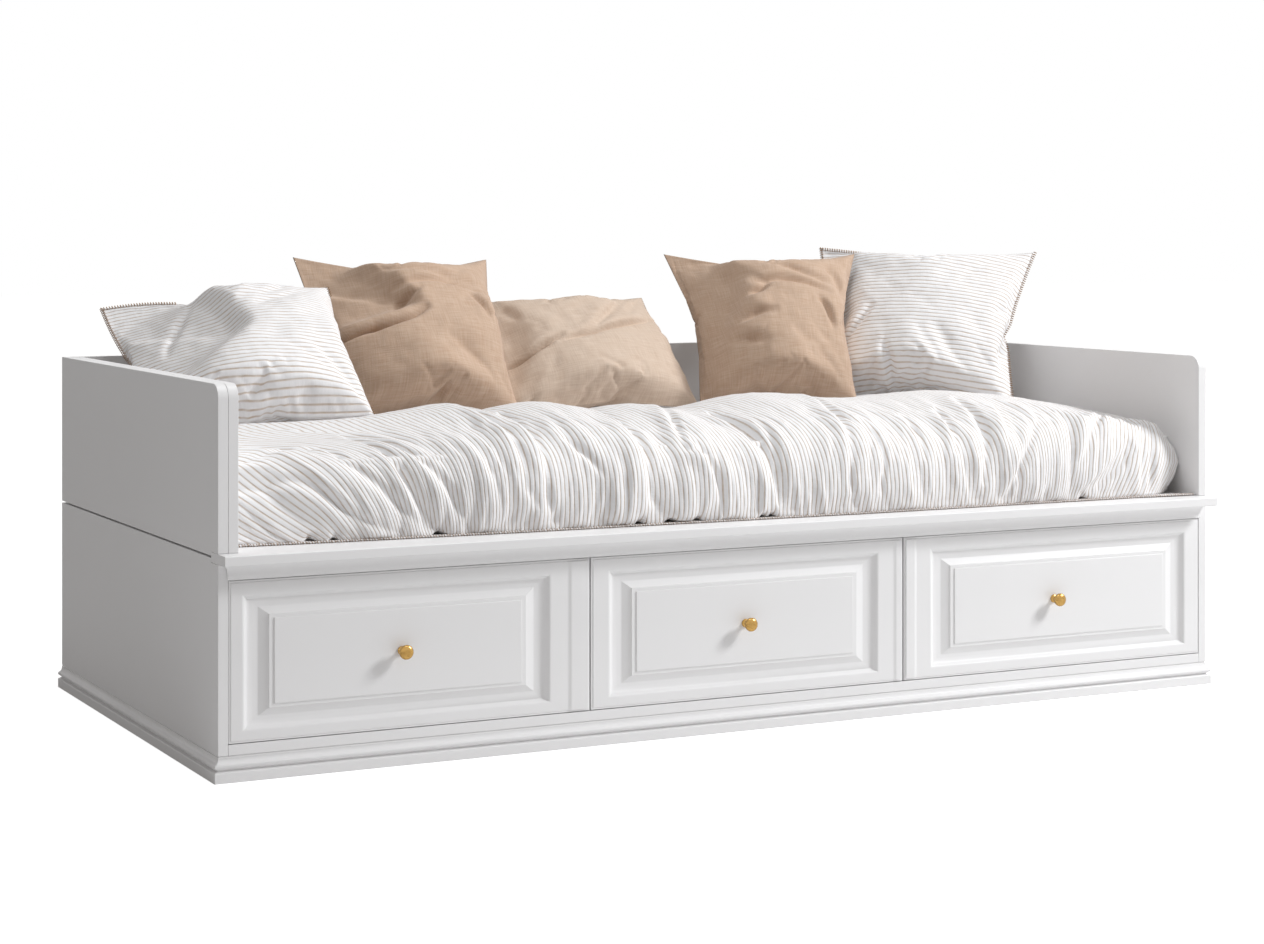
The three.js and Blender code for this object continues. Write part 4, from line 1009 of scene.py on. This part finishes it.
def filled_cover(width, height, seed):
    """The two cloth squares of a cover, sewn round the edge and swelled by their filling"""
    shares = np.linspace(-1, 1, PILLOW_CELLS + 1)
    across, up = np.meshgrid(shares, shares, indexing="ij")
    puff = (1 - across ** 4) * (1 - up ** 4)
    ripple = 0.006 * (cloth_noise(across * 2.2 + 9, up * 2.2 + 4, seed) * puff)
    sides = [np.stack([across * width / 2, facing * 0.012 * puff + ripple, up * height / 2], -1)
             for facing in (-1, 1)]
    points, front, back = sewn_sides(*sides)
    mesh = bpy.data.meshes.new("cover")
    mesh.from_pydata(points.tolist(), [], grid_faces(front) + [
        face[::-1] for face in grid_faces(back)])
    cover = linked("cover", mesh)
    cloth = cover.modifiers.new("filling", "CLOTH")
    for setting, value in CLOTH_SETTINGS.items():
        setattr(cloth.settings, setting, value)
    cloth.settings.effector_weights.gravity = 0
    cloth.collision_settings.use_collision = False
    cloth.point_cache.frame_start = 1
    cloth.point_cache.frame_end = CLOTH_FRAMES
    for moment in range(1, CLOTH_FRAMES + 1):
        bpy.context.scene.frame_set(moment)
    settled = cover.evaluated_get(bpy.context.evaluated_depsgraph_get()).data
    places = np.empty(len(settled.vertices) * 3)
    settled.vertices.foreach_get("co", places)
    places = places.reshape(-1, 3)
    bpy.data.objects.remove(cover)
    bpy.context.scene.frame_set(1)
    return places[front], places[back]


def sewn_sides(front, back):
    """Both sides' values in one list, with the rim once, and the two grids of their numbers"""
    rows, columns = front.shape[:2]
    at = np.arange(rows * columns).reshape(rows, columns)
    behind = at.copy()
    behind[1:-1, 1:-1] = rows * columns + np.arange((rows - 2) * (columns - 2)).reshape(
        rows - 2, columns - 2)
    values = [front.reshape(-1, front.shape[2]), back[1:-1, 1:-1].reshape(-1, front.shape[2])]
    return np.concatenate(values), at, behind


def finer(grid):
    """Twice as many cells each way, on smooth lines through the given points"""
    for axis in (0, 1):
        grid = np.moveaxis(grid, axis, 0)
        wide = np.concatenate([2 * grid[:1] - grid[1:2], grid, 2 * grid[-1:] - grid[-2:-1]])
        middles = (9 * (wide[1:-2] + wide[2:-1]) - wide[:-3] - wide[3:]) / 16
        dense = np.empty((2 * len(grid) - 1,) + grid.shape[1:])
        dense[::2], dense[1::2] = grid, middles
        grid = np.moveaxis(dense, 0, axis)
    return grid


def fallen_side(depth, across, up, half, path):
    """The pillow's face, with the part on the left of a path falling away from there to the rim"""
    path = np.array(path) / 100
    path = np.concatenate([path[:1] + 4 * (path[:1] - path[1:2]), path,
                           path[-1:] + 4 * (path[-1:] - path[-2:-1])]) * half
    signed, _, near_x, near_y = from_path(across * half[0], up * half[1], path)
    last = len(depth) - 1
    column = np.clip((near_x / half[0] + 1) / 2 * last, 0, last - 1e-6)
    row = np.clip((near_y / half[1] + 1) / 2 * last, 0, last - 1e-6)
    first, second = column.astype(int), row.astype(int)
    column, row = column - first, row - second
    edge = ((1 - column) * ((1 - row) * depth[first, second] + row * depth[first, second + 1])
            + column * ((1 - row) * depth[first + 1, second]
                        + row * depth[first + 1, second + 1]))
    for axis in (0, 1):
        for _ in range(6):
            edge = (np.roll(edge, 1, axis) + 2 * edge + np.roll(edge, -1, axis)) / 4
    gaps = ((1 + across) * half[0], (1 - up) * half[1], (1 + up) * half[1])
    to_rim = 1 / np.sqrt(sum(1 / np.maximum(gap, 1e-4) ** 2 for gap in gaps))
    away = np.abs(signed)
    fallen = edge * (to_rim / (to_rim + away + 1e-6)) ** FALL_POWER
    fallen = fallen * (1 - FALL_DENT * ramp(0, FALL_REACH, away))
    plane = np.where(signed > 0, edge + 1.2 * away, fallen)
    lower = (depth + plane - np.sqrt((depth - plane) ** 2 + SHADE_SOFTNESS ** 2)) / 2
    return np.maximum(lower, np.minimum(depth, plane) * 0.3)


def build_pillow(name, foot, turn, lean, roll, size, taper, drawn_in, seed, bend, cloth, sides,
                 creases):
    width, height, loft = size
    half = (width / 2, height / 2)
    front, back = filled_cover(width * SEAM_ALLOWANCE, height * SEAM_ALLOWANCE, seed)
    # Corners go to the pillow's corners, and the filling to its loft
    reach_x = (front[-1, :, 0].max() - front[0, :, 0].min()) / 2
    reach_z = (front[:, -1, 2].max() - front[:, 0, 2].min()) / 2
    thick = (back[..., 1] - front[..., 1]).max()
    front, back = finer(front), finer(back)
    shares = np.linspace(-1, 1, 2 * PILLOW_CELLS + 1)
    across, up = np.meshgrid(shares, shares, indexing="ij")
    for place, facing, fullness in ((front, -1, FRONT_FULLNESS), (back, 1, BACK_FULLNESS)):
        share_up = place[..., 2] / reach_z
        share_across = place[..., 0] / reach_x
        depth = np.maximum(facing * place[..., 1], 0) / (thick / 2)
        depth = fullness * loft / 2 * depth ** CROWN_POWER * (1 - PILLOW_SAG * share_up)
        if facing < 0:
            for path in sides:
                depth = fallen_side(depth, across, up, half, path)
        place[..., 1] = facing * depth
        place[..., 0] = (share_across * half[0] * (1 - drawn_in[0] * (1 - share_up ** 2))
                         * (1 - taper * (1 - share_up)))
        drawn = np.where(up > 0, drawn_in[1], FOOT_DRAWN) * np.abs(up) * (1 - share_across ** 2)
        place[..., 2] = (share_up * (1 - drawn) + 1) * half[1]
    back[[0, -1]], back[:, [0, -1]] = front[[0, -1]], front[:, [0, -1]]
    # Creases and a slight unevenness on the face, fading out at the rim
    normal = np.cross(np.gradient(front, axis=0), np.gradient(front, axis=1))
    normal /= np.linalg.norm(normal, axis=2, keepdims=True) + 1e-12
    rim = np.minimum(1 - np.abs(across), 1 - np.abs(up))
    relief = 0.003 * cloth_noise(across * 3, up * 3 + 5, seed + 50)
    relief += 0.0012 * cloth_noise(across * 9, up * 9 + 5, seed + 51)
    for path, deep, half_width in creases:
        relief += CREASE_DEPTH * deep / 1000 * crease(
            across * half[0], up * half[1], np.array(path) / 100 * half, half_width / 1000,
            CREASE_LIP)
    front = front + normal * (relief * ramp(0.0, 0.12, rim))[..., None]
    turned = np.array(Matrix.Translation(foot) @ Matrix.Rotation(math.radians(turn), 4, "Z")
                      @ Matrix.Rotation(-math.radians(lean), 4, "X")
                      @ Matrix.Rotation(math.radians(roll), 4, "Y"))
    for place in (front, back):
        past = BEND_START * half[0] - place[..., 0]
        past = (past + np.sqrt(past ** 2 + BEND_SOFTNESS ** 2)) / 2
        place[...] = place @ turned[:3, :3].T + turned[:3, 3]
        place += (math.sin(math.radians(bend)) * past)[..., None] * BEND_WAY
    points, at, behind = sewn_sides(front, back)
    spot = np.stack([up * half[1], across * half[0]], -1)
    behind_faces = [face[::-1] for face in grid_faces(behind)]
    mesh = cloth_mesh(name + "_filled", points, grid_faces(at) + behind_faces,
                      sewn_sides(spot, spot)[0])
    pillow = link_piece(name + "_filled", mesh, cloth, CARCASS)
    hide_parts(name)
    edges = {"left": front[0], "right": front[-1], "top": front[:, -1]}
    for number, (edge, start, stop) in enumerate(SEWN_EDGES.get(name, ())):
        line = edges[edge][(shares >= start) & (shares <= stop)]
        whip_stitch(f"{name}_stitches_{number}", line, *PILLOW_STITCHES)


for name, row in PILLOWS.items():
    build_pillow(name, **row)
